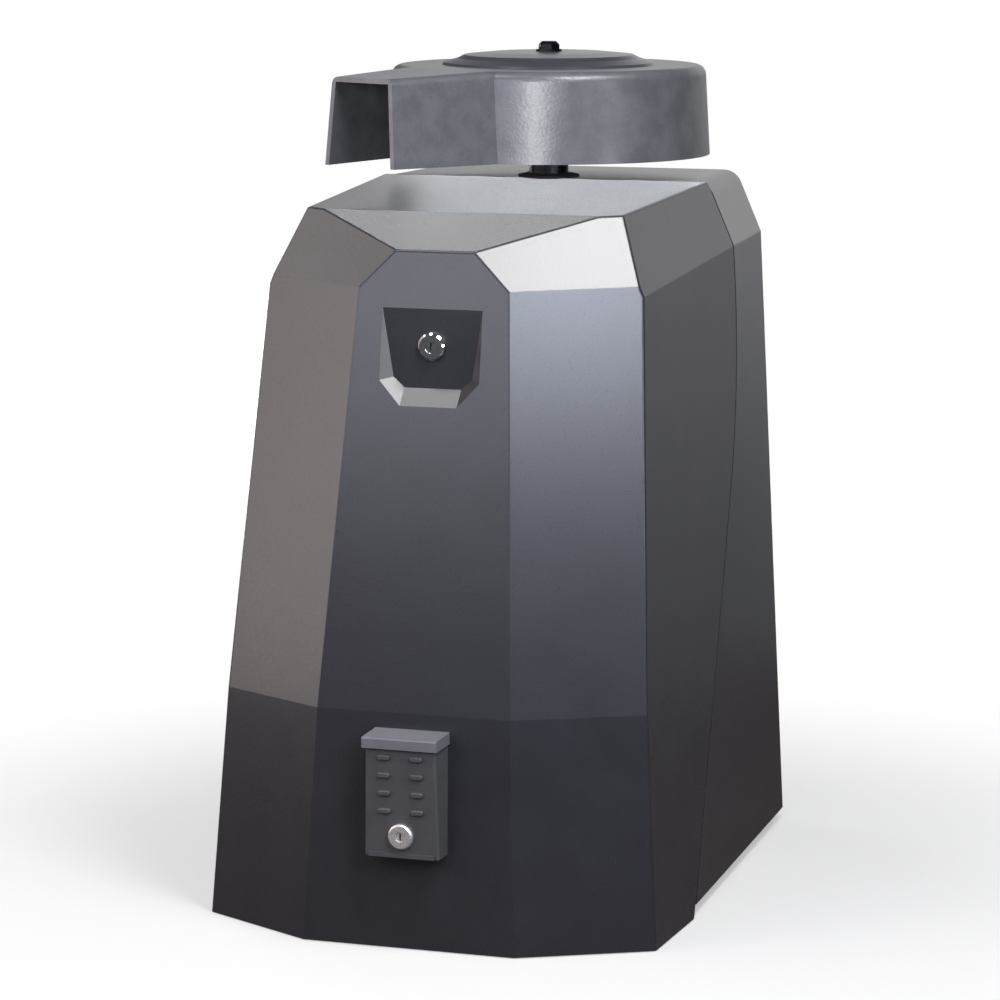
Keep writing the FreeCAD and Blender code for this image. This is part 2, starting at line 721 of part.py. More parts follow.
def key_box_parts():
    top = key_box_z + key_box_height
    foot = V(0, foot_panel_y(key_box_z), key_box_z)
    face = foot - BACK * key_box_depth
    head = V(0, foot_panel_y(top) - key_box_depth_top, top)
    up_face = head - face
    up_face.normalize()
    out = V(0, -up_face.z, up_face.y)
    panel = [(V(0, foot_y, 0), plane(V(0, foot_y, 0), V(0, crease_y, crease_z), V(1, foot_y, 0))[1] * -1)]
    corner = face + RIGHT * (key_box_half - key_box_taper)
    side = plane(foot + RIGHT * key_box_half, corner, corner + up_face * key_box_height - RIGHT * key_box_lean)

    def wedge(inset):
        blank = box(-2 * key_box_half, 2 * key_box_half, head.y - key_box_depth, foot.y + key_box_depth_top,
                    key_box_z + inset, top - inset)
        return trimmed(blank, [side, mirrored(side), (face, out)], inset)

    body = trimmed(wedge(0.0), panel)
    body = rounded(body, key_box_round, lambda e: e.BoundBox.ZLength > 0.9 * key_box_height
                   and e.BoundBox.YMax < face.y + key_box_round)
    body = body.cut(wedge(key_box_wall))

    def on_face(x, z):
        return face + RIGHT * x + up_face * ((z - key_box_z) / up_face.z)

    louvres, slots = [], []
    half = louvre_width / 2
    for x in (-louvre_half, louvre_half):
        for row in range(louvre_rows):
            p = on_face(x, top - louvre_drop - row * louvre_pitch)
            bump = box(-half, half, -louvre_depth, key_box_wall / 2, -louvre_height / 2, louvre_height / 2)
            bump = rounded(bump, 0.45 * louvre_height, lambda e: e.BoundBox.YLength > louvre_depth)
            bump = rounded(bump, 0.4 * louvre_depth, lambda e: e.BoundBox.YMax < -0.99 * louvre_depth)
            bump.translate(p)
            louvres.append(bump)
            slot = box(-0.7 * half, 0.7 * half, -0.55 * louvre_depth, 2 * key_box_wall,
                       -0.55 * louvre_height, -0.25 * louvre_height)
            slot.translate(p)
            slots.append(slot)
    body = joined(body, *louvres).cut(slots)
    lip_half = key_box_half - 2 * key_box_round
    lip = box(-lip_half, lip_half, face.y - key_lip, face.y + key_box_wall, key_box_z,
              key_box_z + key_lip_height)
    body = joined(body, lip)

    key = on_face(0, key_box_z + key_rise)
    body = body.cut(rod(key_barrel_r + hole_fit / 2, key + out * key_head_h, out * -1, 3 * key_head_h))
    front = key + out * key_head_h
    bevel = 0.3 * key_head_h
    rim = spun([(0, 0), (key_head_r - bevel, 0), (key_head_r, bevel), (key_head_r, key_head_h),
                (0, key_head_h)], front, out * -1)
    bore = rod(key_plug_r + running, front + out, out * -1, 2 * key_barrel_l)
    switch = joined(rim, rod(key_barrel_r, key, out * -1, key_barrel_l)).cut(bore)
    plug = rod(key_plug_r, front - out * key_plug_sunk, out * -1, key_barrel_l)
    keyway = box(-keyway_width / 2, keyway_width / 2, front.y - key_head_h, front.y + 2 * key_head_h,
                 key.z - 0.7 * key_plug_r, key.z + 0.7 * key_plug_r)
    plug = plug.cut(keyway)
    nut = hexagon(2.4 * key_barrel_r, key - out * key_box_wall, out * -1, key_head_h)
    nut = nut.cut(rod(key_barrel_r, key, out * -1, key_barrel_l))

    sounder_z = top - louvre_drop - louvre_pitch * (louvre_rows - 1) / 2
    centre = on_face(0, sounder_z) - out * key_box_wall
    sounder = joined(spun([(0, 0), (sounder_r - 2, 0), (sounder_r, 2), (sounder_r, sounder_h), (0, sounder_h)],
                          centre, out * -1),
                     rod(sounder_r / 4, centre - out * sounder_h, out * -1, sounder_h / 4))
    sounder = sounder.cut(rod(sounder_r / 7, centre + out, out * -1, sounder_h / 3))

    y = foot_panel_y(top)
    front_y, behind_y = y - hood_reach, y + hood_reach
    hood_top = top + hood_wall
    section = [V(-hood_half, behind_y, top), V(-hood_half, front_y + hood_wall, top),
               V(-hood_half, front_y + hood_wall, top - hood_lip), V(-hood_half, front_y, top - hood_lip),
               V(-hood_half, front_y, hood_top), V(-hood_half, y, hood_top + hood_slope),
               V(-hood_half, behind_y, hood_top + hood_slope)]
    cheeks = [box(x, x + hood_cheek, front_y, behind_y, top - hood_lip, hood_top)
              for x in (-hood_half, hood_half - hood_cheek)]
    hood = trimmed(joined(sheet(section, RIGHT * 2 * hood_half), *cheeks), panel)
    hood = rounded(hood, hood_wall / 2, lambda e: e.BoundBox.XLength > hood_half and e.BoundBox.ZMin > top + fit
                   and e.BoundBox.YMax < front_y + fit)
    return dict(body=body, hood=hood, switch=switch, plug=plug, nut=nut, sounder=sounder)


# Arm hub: hollow cast drum with a tapered open neck that takes the gate arm

def neck_half(along):
    return neck_root_half + (along - neck_root) * (neck_end_half - neck_root_half) / (neck_end - neck_root)


def neck_faces():
    """Right wall, roof and open end of the neck along -Y: wall drawn in, roof falling, end leaning back."""
    foot = V(neck_half(neck_inside), -neck_inside, hub_bottom_z)
    tip = V(neck_end_half, -neck_end, hub_bottom_z)
    wall_face = plane(foot, tip, foot + V(-neck_draft, 0, hub_height))
    root_top = V(0, -neck_root, hub_top_z)
    end_top = V(0, -neck_end, hub_top_z - neck_drop)
    roof_face = plane(root_top, end_top, root_top + RIGHT)
    end_face = plane(tip, tip + RIGHT, end_top + BACK * neck_end_lean)
    return wall_face, roof_face, end_face


def arm_hub():
    drum = spun([(0, hub_bottom_z), (drum_r, hub_bottom_z), (drum_r - drum_draft, hub_top_z), (0, hub_top_z)])
    drum = rounded(drum, drum_round, lambda e: e.BoundBox.ZMin > hub_top_z - fit
                   and e.BoundBox.XLength > drum_r)
    wall_face, roof_face, end_face = neck_faces()
    open_z = hub_bottom_z - hub_wall
    roof_z_inside = hub_top_z - 1.5 * hub_wall
    neck = box(-drum_r, drum_r, -neck_end - drum_r, -neck_inside, hub_bottom_z, hub_top_z)
    neck = trimmed(neck, [wall_face, mirrored(wall_face), roof_face, end_face])
    neck = rounded(neck, neck_round, lambda e: e.BoundBox.ZMin > hub_bottom_z + hub_height / 2
                   and e.BoundBox.YLength > neck_root - neck_inside and e.BoundBox.XLength > fit)
    cavity = spun([(0, open_z), (drum_r - hub_wall, open_z), (drum_r - hub_wall - drum_draft, roof_z_inside),
                   (0, roof_z_inside)])
    channel = box(-drum_r, drum_r, -neck_end - drum_r, -neck_inside, open_z, hub_top_z)
    channel = trimmed(channel, [wall_face, mirrored(wall_face), roof_face], neck_wall)
    hub = drum.fuse(neck).cut([cavity, channel])

    hollow = cavity.fuse(channel).cut(below(hub_bottom_z))
    inside_top = hub_top_z - hub_wall / 2
    boss = rod(boss_r, V(0, 0, hub_bottom_z - boss_drop), UP, inside_top - hub_bottom_z + boss_drop)
    ribs = []
    for turn in (0, 45, 90, 135, 180):
        rib = box(boss_r - rib_wall, drum_r, -rib_wall / 2, rib_wall / 2, hub_top_z - rib_depth, inside_top)
        rib.rotate(V(0, 0, 0), UP, turn)
        ribs.append(rib.common(hollow))
    for x in (socket_half, -socket_half - guide_wall):
        guide = box(x, x + guide_wall, -neck_end + guide_set_back, -boss_r / 2, hub_bottom_z, inside_top)
        ribs.append(guide.common(hollow))
    hub = joined(hub, boss, *ribs)
    bore = rod(shaft_top_r, V(0, 0, open_z), UP, shaft_top_z - open_z)
    bolt_hole = rod(hub_bolt_r + hole_fit, V(0, 0, hub_bottom_z), UP, 2 * hub_height)
    hub = hub.cut([bore, bolt_hole])
    hub.rotate(V(0, 0, 0), UP, -neck_turn)
    hub.translate(axis)
    return hub


def hub_top_parts():
    hole = hub_bolt_r + hole_fit
    summit = hub_top_z + disc_height
    crown_r = 0.93 * disc_bead_r
    profile = [(hole, 0), (disc_r, 0), (disc_r - 2, 0.18), (disc_bead_r, 0.5), (crown_r, 0.75),
               (0.7 * crown_r, 0.94), (0.35 * crown_r, 1), (hole, 1)]
    disc = spun([(r, hub_top_z + h * disc_height) for r, h in profile], axis)
    washer = tube(hub_washer_r, hole, axis + UP * summit, UP, hub_washer_h)
    head_z = summit + hub_washer_h
    head = hexagon(hub_bolt_across, axis + UP * head_z, UP, hub_bolt_head)
    across, tall = hub_bolt_across, hub_bolt_head
    crown = spun([(0, 0), (0.6 * across, 0), (0.6 * across, 0.5 * tall), (0.38 * across, tall), (0, tall)],
                 axis + UP * head_z)
    shank = head_z - shaft_top_z + hub_bolt_bite
    bolt = joined(head.common(crown), rod(hub_bolt_r, axis + UP * (head_z - shank), UP, shank))
    tapped = rod(hub_bolt_r + screw_fit, axis + UP * (head_z - shank - hub_bolt_r), UP, shank)
    key_width = 0.6 * shaft_top_r
    key = box(0.75 * shaft_top_r, 1.15 * shaft_top_r, hub_y - key_width / 2, hub_y + key_width / 2,
              hub_bottom_z, hub_bottom_z + 0.67 * hub_height)
    return disc, washer, bolt, tapped, key


# Reducer: output shaft, worm wheel, worm and their casting

def output_shaft(keys, tapped):
    foot = chamber_z - bearing_h + 2 * running
    shaft = joined(rod(shaft_r, axis + UP * foot, UP, shaft_step_z - foot),
                   rod(shaft_r + shaft_collar, axis + UP * (chamber_z + fit), UP, collar_h),
                   rod(shaft_top_r, axis + UP * shaft_step_z, UP, shaft_top_z - shaft_step_z))
    return shaft.cut(keys + [tapped])


def tooth_outline(inner, outer):
    """Half widths of a straight-flanked tooth at two radii beyond and below the pitch line."""
    flank = math.tan(math.radians(20))
    return tooth_half + inner * flank, tooth_half - outer * flank


def worm_wheel(key):
    hub_z = chamber_z + collar_h + fit
    rim_z = worm_z - wheel_width / 2
    root_r = wheel_r - tooth_depth
    rim_in = root_r - wheel_rim
    hub = rod(wheel_hub_r, axis + UP * hub_z, UP, cover_z - hub_z - fit)
    web = rod(rim_in + wheel_rim / 2, axis + UP * (worm_z - wheel_width / 4), UP, wheel_width / 2)
    rim = tube(root_r, rim_in, axis + UP * rim_z, UP, wheel_width)
    root_half, tip_half = tooth_outline(tooth_depth, tooth_height)
    slant = gear_pitch / (2 * math.pi * worm_pitch_r) * wheel_width
    sunk = gear_module / 4
    teeth = []
    for k in range(wheel_teeth):
        points = [V(root_r - sunk, -root_half, 0), V(wheel_tip_r, -tip_half, 0),
                  V(wheel_tip_r, tip_half, 0), V(root_r - sunk, root_half, 0)]
        tooth = sheet(points, V(0, slant, wheel_width))
        tooth.translate(V(0, -slant / 2, rim_z))
        tooth.rotate(V(0, 0, 0), UP, 360.0 * k / wheel_teeth)
        tooth.translate(axis)
        teeth.append(tooth)
    wheel = joined(hub, web, rim, *teeth)
    hole_ring = (wheel_hub_r + rim_in) / 2
    turns = [math.radians(60 * k) for k in range(6)]
    spots = [axis + V(hole_ring * math.cos(a), hole_ring * math.sin(a), rim_z) for a in turns]
    holes = [rod(wheel_hole_r, spot, UP, wheel_width) for spot in spots]
    bore = rod(shaft_r, axis + UP * (hub_z - 1), UP, chamber_height)
    return wheel.cut(holes + [bore, key])


def worm_shaft():
    """Single-start worm on its shaft, running front to back beside the wheel."""
    root_half, tip_half = tooth_outline(tooth_depth, tooth_height)
    root_r = worm_pitch_r - tooth_depth
    length = worm_turns * gear_pitch
    helix = Part.makeHelix(gear_pitch, length, root_r)
    inner = root_r - gear_module / 10
    section = [V(inner, 0, -root_half), V(worm_pitch_r + tooth_height, 0, -tip_half),
               V(worm_pitch_r + tooth_height, 0, tip_half), V(inner, 0, root_half)]
    thread = Part.Wire(helix.Edges).makePipeShell([Part.makePolygon(section + section[:1])], True, True)
    core = rod(root_r, V(0, 0, length / 2 - worm_half + fit), UP, 2 * (worm_half - fit))
    front_end = tunnel_half + cap_thickness + nose_step
    journal = rod(worm_journal_r, V(0, 0, length / 2 - front_end), UP, front_end + worm_half + worm_bearing_h)
    nose_end = hub_y - pulley_y + 0.7 * pulley_width
    nose = rod(worm_journal_r - nose_step, V(0, 0, length / 2 - nose_end), UP, nose_end)
    shaft = core.fuse([thread, journal, nose])
    return placed(shaft, V(worm_x, hub_y - length / 2, worm_z), BACK)


def gearbox_cover_parts():
    """Lid with the upper bearing and seal seats, its ring of bolts and their holes."""
    top = cover_z + cover_thickness
    cover = joined(rod(flange_r, axis + UP * cover_z, UP, cover_thickness),
                   rod(bearing_r + cover_thickness, axis + UP * cover_z, UP, seal_z + seal_h - cover_z))
    cover = cover.cut([rod(bearing_r, axis + UP * (cover_z - 1), UP, bearing_h + 1),
                       rod(shaft_r + seal_step / 2, axis + UP * cover_z, UP, chamber_height),
                       rod(seal_r, axis + UP * seal_z, UP, seal_h + 1)])
    bolts, holes = [], []
    ring = flange_r - 2.2 * cover_bolt_r
    depth = 2 * cover_thickness
    for k in range(8):
        a = math.radians(22.5 + 45 * k)
        p = axis + V(ring * math.cos(a), ring * math.sin(a), top)
        bolts.append(cap_screw(p, UP, 1.6 * cover_bolt_r, 2 * cover_bolt_r, cover_bolt_r, depth - 2))
        holes.append(rod(cover_bolt_r + screw_fit, p - UP * depth, UP, depth + 1))
    return cover.cut(holes), bolts, holes


def worm_caps():
    """End caps of the worm tunnel, their bolts and holes; the front one lets the shaft out to the pulley."""
    spigot = tunnel_half - worm_half - worm_bearing_h
    bolt_ring = worm_bearing_r + tunnel_wall / 2
    depth = 2 * cap_thickness
    caps, bolts, holes = [], [], []
    for end in (-1, 1):
        out = BACK * end
        mouth = V(worm_x, hub_y + end * tunnel_half, worm_z)
        cap = joined(rod(tunnel_r, mouth, out, cap_thickness),
                     rod(worm_bearing_r, mouth - out * spigot, out, spigot))
        if end < 0:
            cap = cap.cut(rod(worm_journal_r + 2 * running, mouth - out * tunnel_half, out, 2 * tunnel_half))
        else:
            cap = cap.cut(rod(worm_journal_r + nose_step, mouth - out * 2 * spigot, out, 2 * spigot))
        for k in range(4):
            a = math.radians(45 + 90 * k)
            p = mouth + out * cap_thickness + V(math.cos(a), 0, math.sin(a)) * bolt_ring
            bolts.append(cap_screw(p, out, 1.8 * cap_bolt_r, 2 * cap_bolt_r, cap_bolt_r, depth))
            holes.append(rod(cap_bolt_r + screw_fit, p - out * (depth + 1), out, depth + 2))
        caps.append(cap)
    return [cap.cut(holes) for cap in caps], bolts, holes


def gearbox_parts():
    z0 = deck_top_z
    foot_x0, foot_x1 = -box_r - cover_thickness / 2, worm_x + tunnel_r - cover_thickness / 2
    foot_y0, foot_y1 = hub_y - tunnel_half, hub_y + tunnel_half
    corner = 2 * bolt_head_r
    foot = box(foot_x0, foot_x1, foot_y0, foot_y1, z0, z0 + box_foot)
    foot = rounded(foot, corner, lambda e: e.BoundBox.ZLength > 0.9 * box_foot)
    drum = rod(box_r, axis + UP * z0, UP, cover_z - z0)
    flange = rod(flange_r, axis + UP * (cover_z - cover_thickness), UP, cover_thickness)
    tunnel_start = V(worm_x, foot_y0, worm_z)
    tunnel = rod(tunnel_r, tunnel_start, BACK, 2 * tunnel_half)
    web = box(worm_x - tunnel_r * 0.7, worm_x + tunnel_r * 0.7, foot_y0, foot_y1, z0, worm_z)
    chamber = rod(chamber_r, axis + UP * chamber_z, UP, 2 * chamber_height)
    seat = rod(bearing_r, axis + UP * (chamber_z - bearing_h), UP, bearing_h + 1)
    worm_bore = rod(worm_bearing_r, tunnel_start - BACK, BACK, 2 * tunnel_half + 2)

    cover, cover_bolts, cover_holes = gearbox_cover_parts()
    caps, cap_bolts, cap_holes = worm_caps()
    bearings = [ball_bearing(bearing_r, shaft_r + running, axis + UP * z, UP, bearing_h)
                for z in (chamber_z - bearing_h, cover_z)]
    bearings += [ball_bearing(worm_bearing_r, worm_journal_r + running, V(worm_x, hub_y + y, worm_z), BACK,
                              worm_bearing_h) for y in (-worm_half - worm_bearing_h, worm_half)]
    lip_h, case_wall = 0.6 * seal_h, 2.0
    seal = spun([(shaft_r + running, 0), (seal_r, 0), (seal_r, seal_h), (seal_r - case_wall, seal_h),
                 (seal_r - 1.5 * case_wall, lip_h), (shaft_r + case_wall, lip_h),
                 (shaft_r + running, lip_h + case_wall)], axis + UP * seal_z)

    foot_bolts, foot_holes = [], []
    for y in (foot_y0 + corner, foot_y1 - corner):
        p = V(foot_x0 + corner, y, z0 + box_foot)
        shank = box_foot + deck_thickness
        foot_bolts.append(cap_screw(p, UP, bolt_head_r, bolt_head_h, bolt_r, shank))
        foot_holes.append(rod(bolt_r + screw_fit, p - UP * (shank + 4), UP, shank + 6))
        p = V(worm_x, y, deck_z)
        shank = deck_thickness + 1.3 * box_foot
        foot_bolts.append(cap_screw(p, UP * -1, bolt_head_r, bolt_head_h, bolt_r, shank))
        foot_holes.append(rod(bolt_r + screw_fit, p - UP * 2, UP, shank + 6))
    a = math.radians(180 + oil_plug_angle)
    plug_dir = V(math.cos(a), math.sin(a), 0)
    plug_at = axis + plug_dir * box_r + UP * (chamber_z + 0.7 * chamber_height)
    plug_hole = rod(oil_plug_r + screw_fit, plug_at - plug_dir * 1.5 * oil_plug_r, plug_dir, 3 * oil_plug_r)
    seat_h = 0.4 * oil_plug_r
    plug_boss = rod(2 * oil_plug_r, plug_at - plug_dir * oil_plug_r, plug_dir, oil_plug_r + seat_h)
    oil_plug = joined(hexagon(2.1 * oil_plug_r, plug_at + plug_dir * seat_h, plug_dir, oil_plug_r),
                      rod(oil_plug_r, plug_at - plug_dir * oil_plug_r, plug_dir, oil_plug_r + seat_h))
    housing = joined(foot, drum, flange, tunnel, web, plug_boss).cut([chamber, seat, worm_bore, plug_hole])
    return dict(housing=housing.cut(cover_holes + cap_holes + foot_holes), cover=cover,
                cover_bolts=group(cover_bolts + cap_bolts), bearings=bearings, seal=seal, cap_front=caps[0],
                cap_rear=caps[1], foot_bolts=foot_bolts, foot_holes=foot_holes, oil_plug=oil_plug)


# Belt drive

def belt_section(radius, grow):
    """Corners (radius, along the shaft) of the belt's tapered section whose back runs at a radius."""
    narrow = belt_height * math.tan(math.radians(belt_angle))
    top = belt_width / 2 + grow
    low = belt_width / 2 - narrow + grow
    return [(radius - belt_height - grow, -low), (radius - belt_height - grow, low), (radius + grow, top),
            (radius + grow, -top)]


def pulley(radius, centre, shaft_radius):
    """Grooved pulley with a thinner web and a hub; the groove clears the belt."""
    half = pulley_width / 2
    hub_r = shaft_radius + pulley_rim
    blank = spun([(0, -half), (radius, -half), (radius, half), (0, half)], centre, BACK)
    floor, mouth = belt_section(radius - belt_sunk, fit)[1:3]
    flare = mouth[1] + belt_sunk
    groove = [(floor[0], -floor[1]), floor, (radius + belt_sunk, flare), (radius + belt_sunk, -flare)]
    solid = blank.cut(spun(groove, centre, BACK))
    rim_in = radius - belt_height - pulley_rim
    if rim_in > hub_r + pulley_rim:
        for side in (-1, 1):
            solid = solid.cut(tube(rim_in, hub_r, centre + BACK * (side * half), BACK * -side, pulley_relief))
    return solid.cut(rod(shaft_radius, centre - BACK * pulley_width, BACK, 2 * pulley_width))


def v_belt(big, small):
    """Closed belt: two straight runs and two wraps, tangent to both pulleys."""
    r1, r2 = drive_pulley_r - belt_sunk, motor_pulley_r - belt_sunk
    line = small - big
    lean = math.asin((r1 - r2) / line.Length)
    heading = math.atan2(line.z, line.x)
    section = belt_section(0, 0)
    pieces = []
    for side in (1, -1):
        angle = heading + side * (math.pi / 2 - lean)
        normal = V(math.cos(angle), 0, math.sin(angle))
        points = [big + normal * (r1 + r) + BACK * y for r, y in section]
        pieces.append(sheet(points, (small + normal * r2) - (big + normal * r1)))
    for centre, r, middle, span in ((big, r1, heading + math.pi, math.pi + 2 * lean),
                                    (small, r2, heading, math.pi - 2 * lean)):
        first = middle - span / 2
        radial = V(math.cos(first), 0, math.sin(first))
        points = [centre + radial * (r + h) + BACK * y for h, y in section]
        face = Part.Face(Part.makePolygon(points + points[:1]))
        pieces.append(face.revolve(centre, BACK * -1, math.degrees(span)))
    return joined(*pieces)


# Motor

def motor_bell(centre, y, out, through):
    """End bell with a bearing seat and vents; the front one lets the shaft through."""
    start = centre + BACK * y
    inner = motor_r - motor_skin
    shoulder = bell_depth - 2 * bell_wall
    bell = spun([(0, 0), (motor_r, 0), (motor_r, bell_wall),
                 (motor_r - 3 * bell_wall, shoulder - 0.5 * bell_wall),
                 (bell_boss_r + 1.5 * bell_wall, shoulder), (bell_boss_r, bell_depth), (0, bell_depth)],
                start, out)
    hollow = shoulder / 2
    bell = bell.cut(spun([(0, -1), (inner - bell_wall / 2, -1), (inner - 3 * bell_wall, hollow), (0, hollow)],
                         start, out))
    seat = bell_depth - bell_wall - motor_bearing_h
    bell = bell.cut(rod(motor_bearing_r, start + out * (seat - 1), out, motor_bearing_h + 1))
    if through:
        bell = bell.cut(rod(1.25 * motor_shaft_r, start, out, 2 * bell_depth))
    vents = []
    for k in range(8):
        a = math.radians(22.5 + 45 * k)
        middle = start + V(math.cos(a), 0, math.sin(a)) * (motor_r - 4 * vent_r)
        vents.append(rod(vent_r, middle - out, out, 2 * bell_depth))
    bearing = ball_bearing(motor_bearing_r, motor_shaft_r + running, start + out * seat, out, motor_bearing_h)
    return bell.cut(vents), bearing


def motor_parts():
    centre = V(motor_x, 0, motor_z)
    y0, y1 = motor_front_y, motor_rear_y
    inner = motor_r - motor_skin
    housing = tube(motor_r, inner, centre + BACK * y0, BACK, motor_length)
    core_y, core_l = y0 + core_inset, motor_length - 2 * core_inset
    stator = tube(inner, rotor_r + air_gap, centre + BACK * core_y, BACK, core_l)
    for y in (core_y - winding_length, core_y + core_l):
        winding = tube(inner - motor_skin, rotor_r + winding_gap, centre + BACK * y, BACK, winding_length)
        stator = joined(stator, winding)
    nose = pulley_y - 0.7 * pulley_width
    tail = y1 + bell_depth - 1.5 * bell_wall
    rotor = joined(rod(motor_shaft_r, centre + BACK * nose, BACK, tail - nose),
                   rod(rotor_r, centre + BACK * core_y, BACK, core_l))
    bell_front, bearing_front = motor_bell(centre, y0, BACK * -1, True)
    bell_rear, bearing_rear = motor_bell(centre, y1, BACK, False)

    through = rod(motor_r, centre, BACK, 2 * motor_rear_y)
    plate_top = cradle_z + cradle_wall
    cradle_y = (y0 + cradle_inset, y1 - cradle_inset)
    cradle = box(motor_x - cradle_half, motor_x + cradle_half, cradle_y[0], cradle_y[1], cradle_z, plate_top)
    rib_half = cradle_half - 3.5 * small_bolt_r
    for y in (cradle_y[0] + cradle_wall, cradle_y[1] - cradle_wall - cradle_rib):
        cradle = joined(cradle, box(motor_x - rib_half, motor_x + rib_half, y, y + cradle_rib, cradle_z,
                                    plate_top + cradle_rise))
    bolts, holes = [], []
    shank = cradle_wall + shelf_wall
    for x in (motor_x - cradle_half + 1.5 * small_bolt_r, motor_x + cradle_half - 1.5 * small_bolt_r):
        for y in (cradle_y[0] + 3.5 * small_bolt_r, cradle_y[1] - 3.5 * small_bolt_r):
            p = V(x, y, plate_top)
            bolts.append(cap_screw(p, UP, 1.4 * small_bolt_r, small_bolt_r, small_bolt_r, shank))
            holes.append(rod(small_bolt_r + screw_fit, p - UP * (shank + 2), UP, shank + 4))
    cradle = cradle.cut([through] + holes)

    a = math.radians(capacitor_angle)
    out = V(math.cos(a), 0, math.sin(a))
    middle_y = (y0 + y1) / 2
    spot = centre + out * (motor_r + 1.1 * capacitor_r) + BACK * (middle_y - capacitor_length / 2)
    can = rod(capacitor_r, spot, BACK, capacitor_length)
    can = rounded(can, 0.15 * capacitor_r, lambda e: e.BoundBox.YLength < fit)
    clip = box(-0.6 * capacitor_r, 0.6 * capacitor_r, -0.3 * capacitor_length, 0.3 * capacitor_length,
               0, 0.6 * capacitor_r)
    clip = placed(clip, centre + out * (motor_r - 1) + BACK * middle_y, out)
    capacitor = joined(can, clip.cut(through))

    shelf_y = (cradle_y[0] - shelf_wall, cradle_y[1] + shelf_wall)
    shelf = box(-frame_x, frame_x, shelf_y[0], shelf_y[1], cradle_z - shelf_wall, cradle_z)
    for x in (-frame_x, frame_x - shelf_wall):
        shelf = joined(shelf, box(x, x + shelf_wall, shelf_y[0], shelf_y[1], cradle_z - shelf_flange, cradle_z))
    bolt_z = cradle_z - 0.6 * shelf_flange
    bolt_spots = [(shelf_y[0] + 3 * shelf_wall, bolt_z), (shelf_y[1] - 3 * shelf_wall, bolt_z)]
    return dict(housing=housing, stator=stator, rotor=rotor, bell_front=bell_front, bell_rear=bell_rear,
                bearings=[bearing_front, bearing_rear], cradle=cradle, bolts=bolts, capacitor=capacitor,
                shelf=shelf.cut(holes), shelf_bolt_spots=bolt_spots)


# Limit switches and their cams

def limit_cam(z, turn):
    cam = rod(limit_cam_r, axis + UP * z, UP, limit_cam_h)
    lobe = rod(limit_cam_r + limit_lobe, axis + UP * z, UP, limit_cam_h)
    reach = 2 * (limit_cam_r + limit_lobe)
    wide = reach * math.tan(math.radians(limit_lobe_angle / 2))
    wedge = sheet([V(0, 0, z), V(reach, -wide, z), V(reach, wide, z)], UP * limit_cam_h)
    wedge.rotate(V(0, 0, 0), UP, 180 + turn)
    wedge.translate(axis)
    return joined(cam, lobe.common(wedge)).cut(rod(shaft_top_r, axis, UP, 2 * roof_z))


def limit_switch(middle):
    """Switch body with its button and two ears, and the roller lever that turns between the ears."""
    front = switch_x + switch_depth
    body = box(switch_x, front, hub_y - switch_size / 2, hub_y + switch_size / 2, middle - switch_height / 2,
               middle + switch_height / 2)
    button = rod(0.6 * roller_r, V(front, hub_y - roller_r, middle), RIGHT, 0.7 * roller_r)
    tip = V(-(limit_cam_r + limit_lobe + roller_r + 1), hub_y - 2 * roller_r, middle - roller_r)
    root = V(front + 1.5 * roller_r, hub_y + switch_size / 2 - 1.5 * roller_r, middle - roller_r)
    half = lever_wall / 2
    arm_z = middle - 0.6 * roller_r
    arm = sheet([V(root.x - half, root.y, arm_z), V(root.x + half, root.y, arm_z),
                 V(tip.x + half, tip.y, arm_z), V(tip.x - half, tip.y, arm_z)], UP * 1.2 * roller_r)
    pivot = rod(0.7 * roller_r, root - UP * fit, UP, 2 * (roller_r + fit))
    lever = joined(arm, pivot, rod(roller_r, tip, UP, 2 * roller_r))
    ear_gap = roller_r + 2 * fit
    ears = [box(front - 1, root.x + roller_r, root.y - roller_r, root.y + roller_r, z, z + switch_ear)
            for z in (middle - ear_gap - switch_ear, middle + ear_gap)]
    return joined(body, button, *ears), lever


def limit_parts():
    cams, switches, levers = [], [], []
    for k, turn in enumerate(limit_turns):
        z = limit_cam_z + k * limit_cam_pitch
        cams.append(limit_cam(z, turn))
        switch, lever = limit_switch(z + limit_cam_h / 2)
        switches.append(switch)
        levers.append(lever)
    plate_z = cover_z + cover_thickness
    upright = box(switch_x - bracket_wall, switch_x, hub_y - bracket_half, hub_y + bracket_half, plate_z,
                  limit_cams_top_z + 2 * bracket_wall)
    foot = box(switch_x - bracket_half, switch_x, hub_y - bracket_half, hub_y + bracket_half, plate_z,
               plate_z + bracket_wall)
    return cams, group(switches), levers, joined(upright, foot)


# Chassis

def frame_side(side):
    """Folded side frame: upright web with a window, and flanges below, above and behind."""
    t = base_thickness
    x0, x1 = sorted((side * frame_x, side * (frame_x + frame_wall)))
    in0, in1 = sorted((side * (frame_x - frame_flange), side * (frame_x + frame_wall)))
    web = box(x0, x1, frame_front_y, frame_rear_y, t, deck_z)
    low = box(in0, in1, frame_front_y, frame_rear_y, t, t + frame_wall)
    high = box(in0, in1, frame_front_y, frame_rear_y, deck_z - frame_wall, deck_z)
    rear = box(in0, in1, frame_rear_y - frame_wall, frame_rear_y, t, deck_z)
    window = box(x0 - 1, x1 + 1, frame_front_y + frame_margin, frame_rear_y - frame_margin, window_z,
                 deck_z - window_top_margin)
    window = rounded(window, frame_margin / 2, lambda e: e.BoundBox.XLength > 1)
    return joined(web, low, high, rear).cut(window)


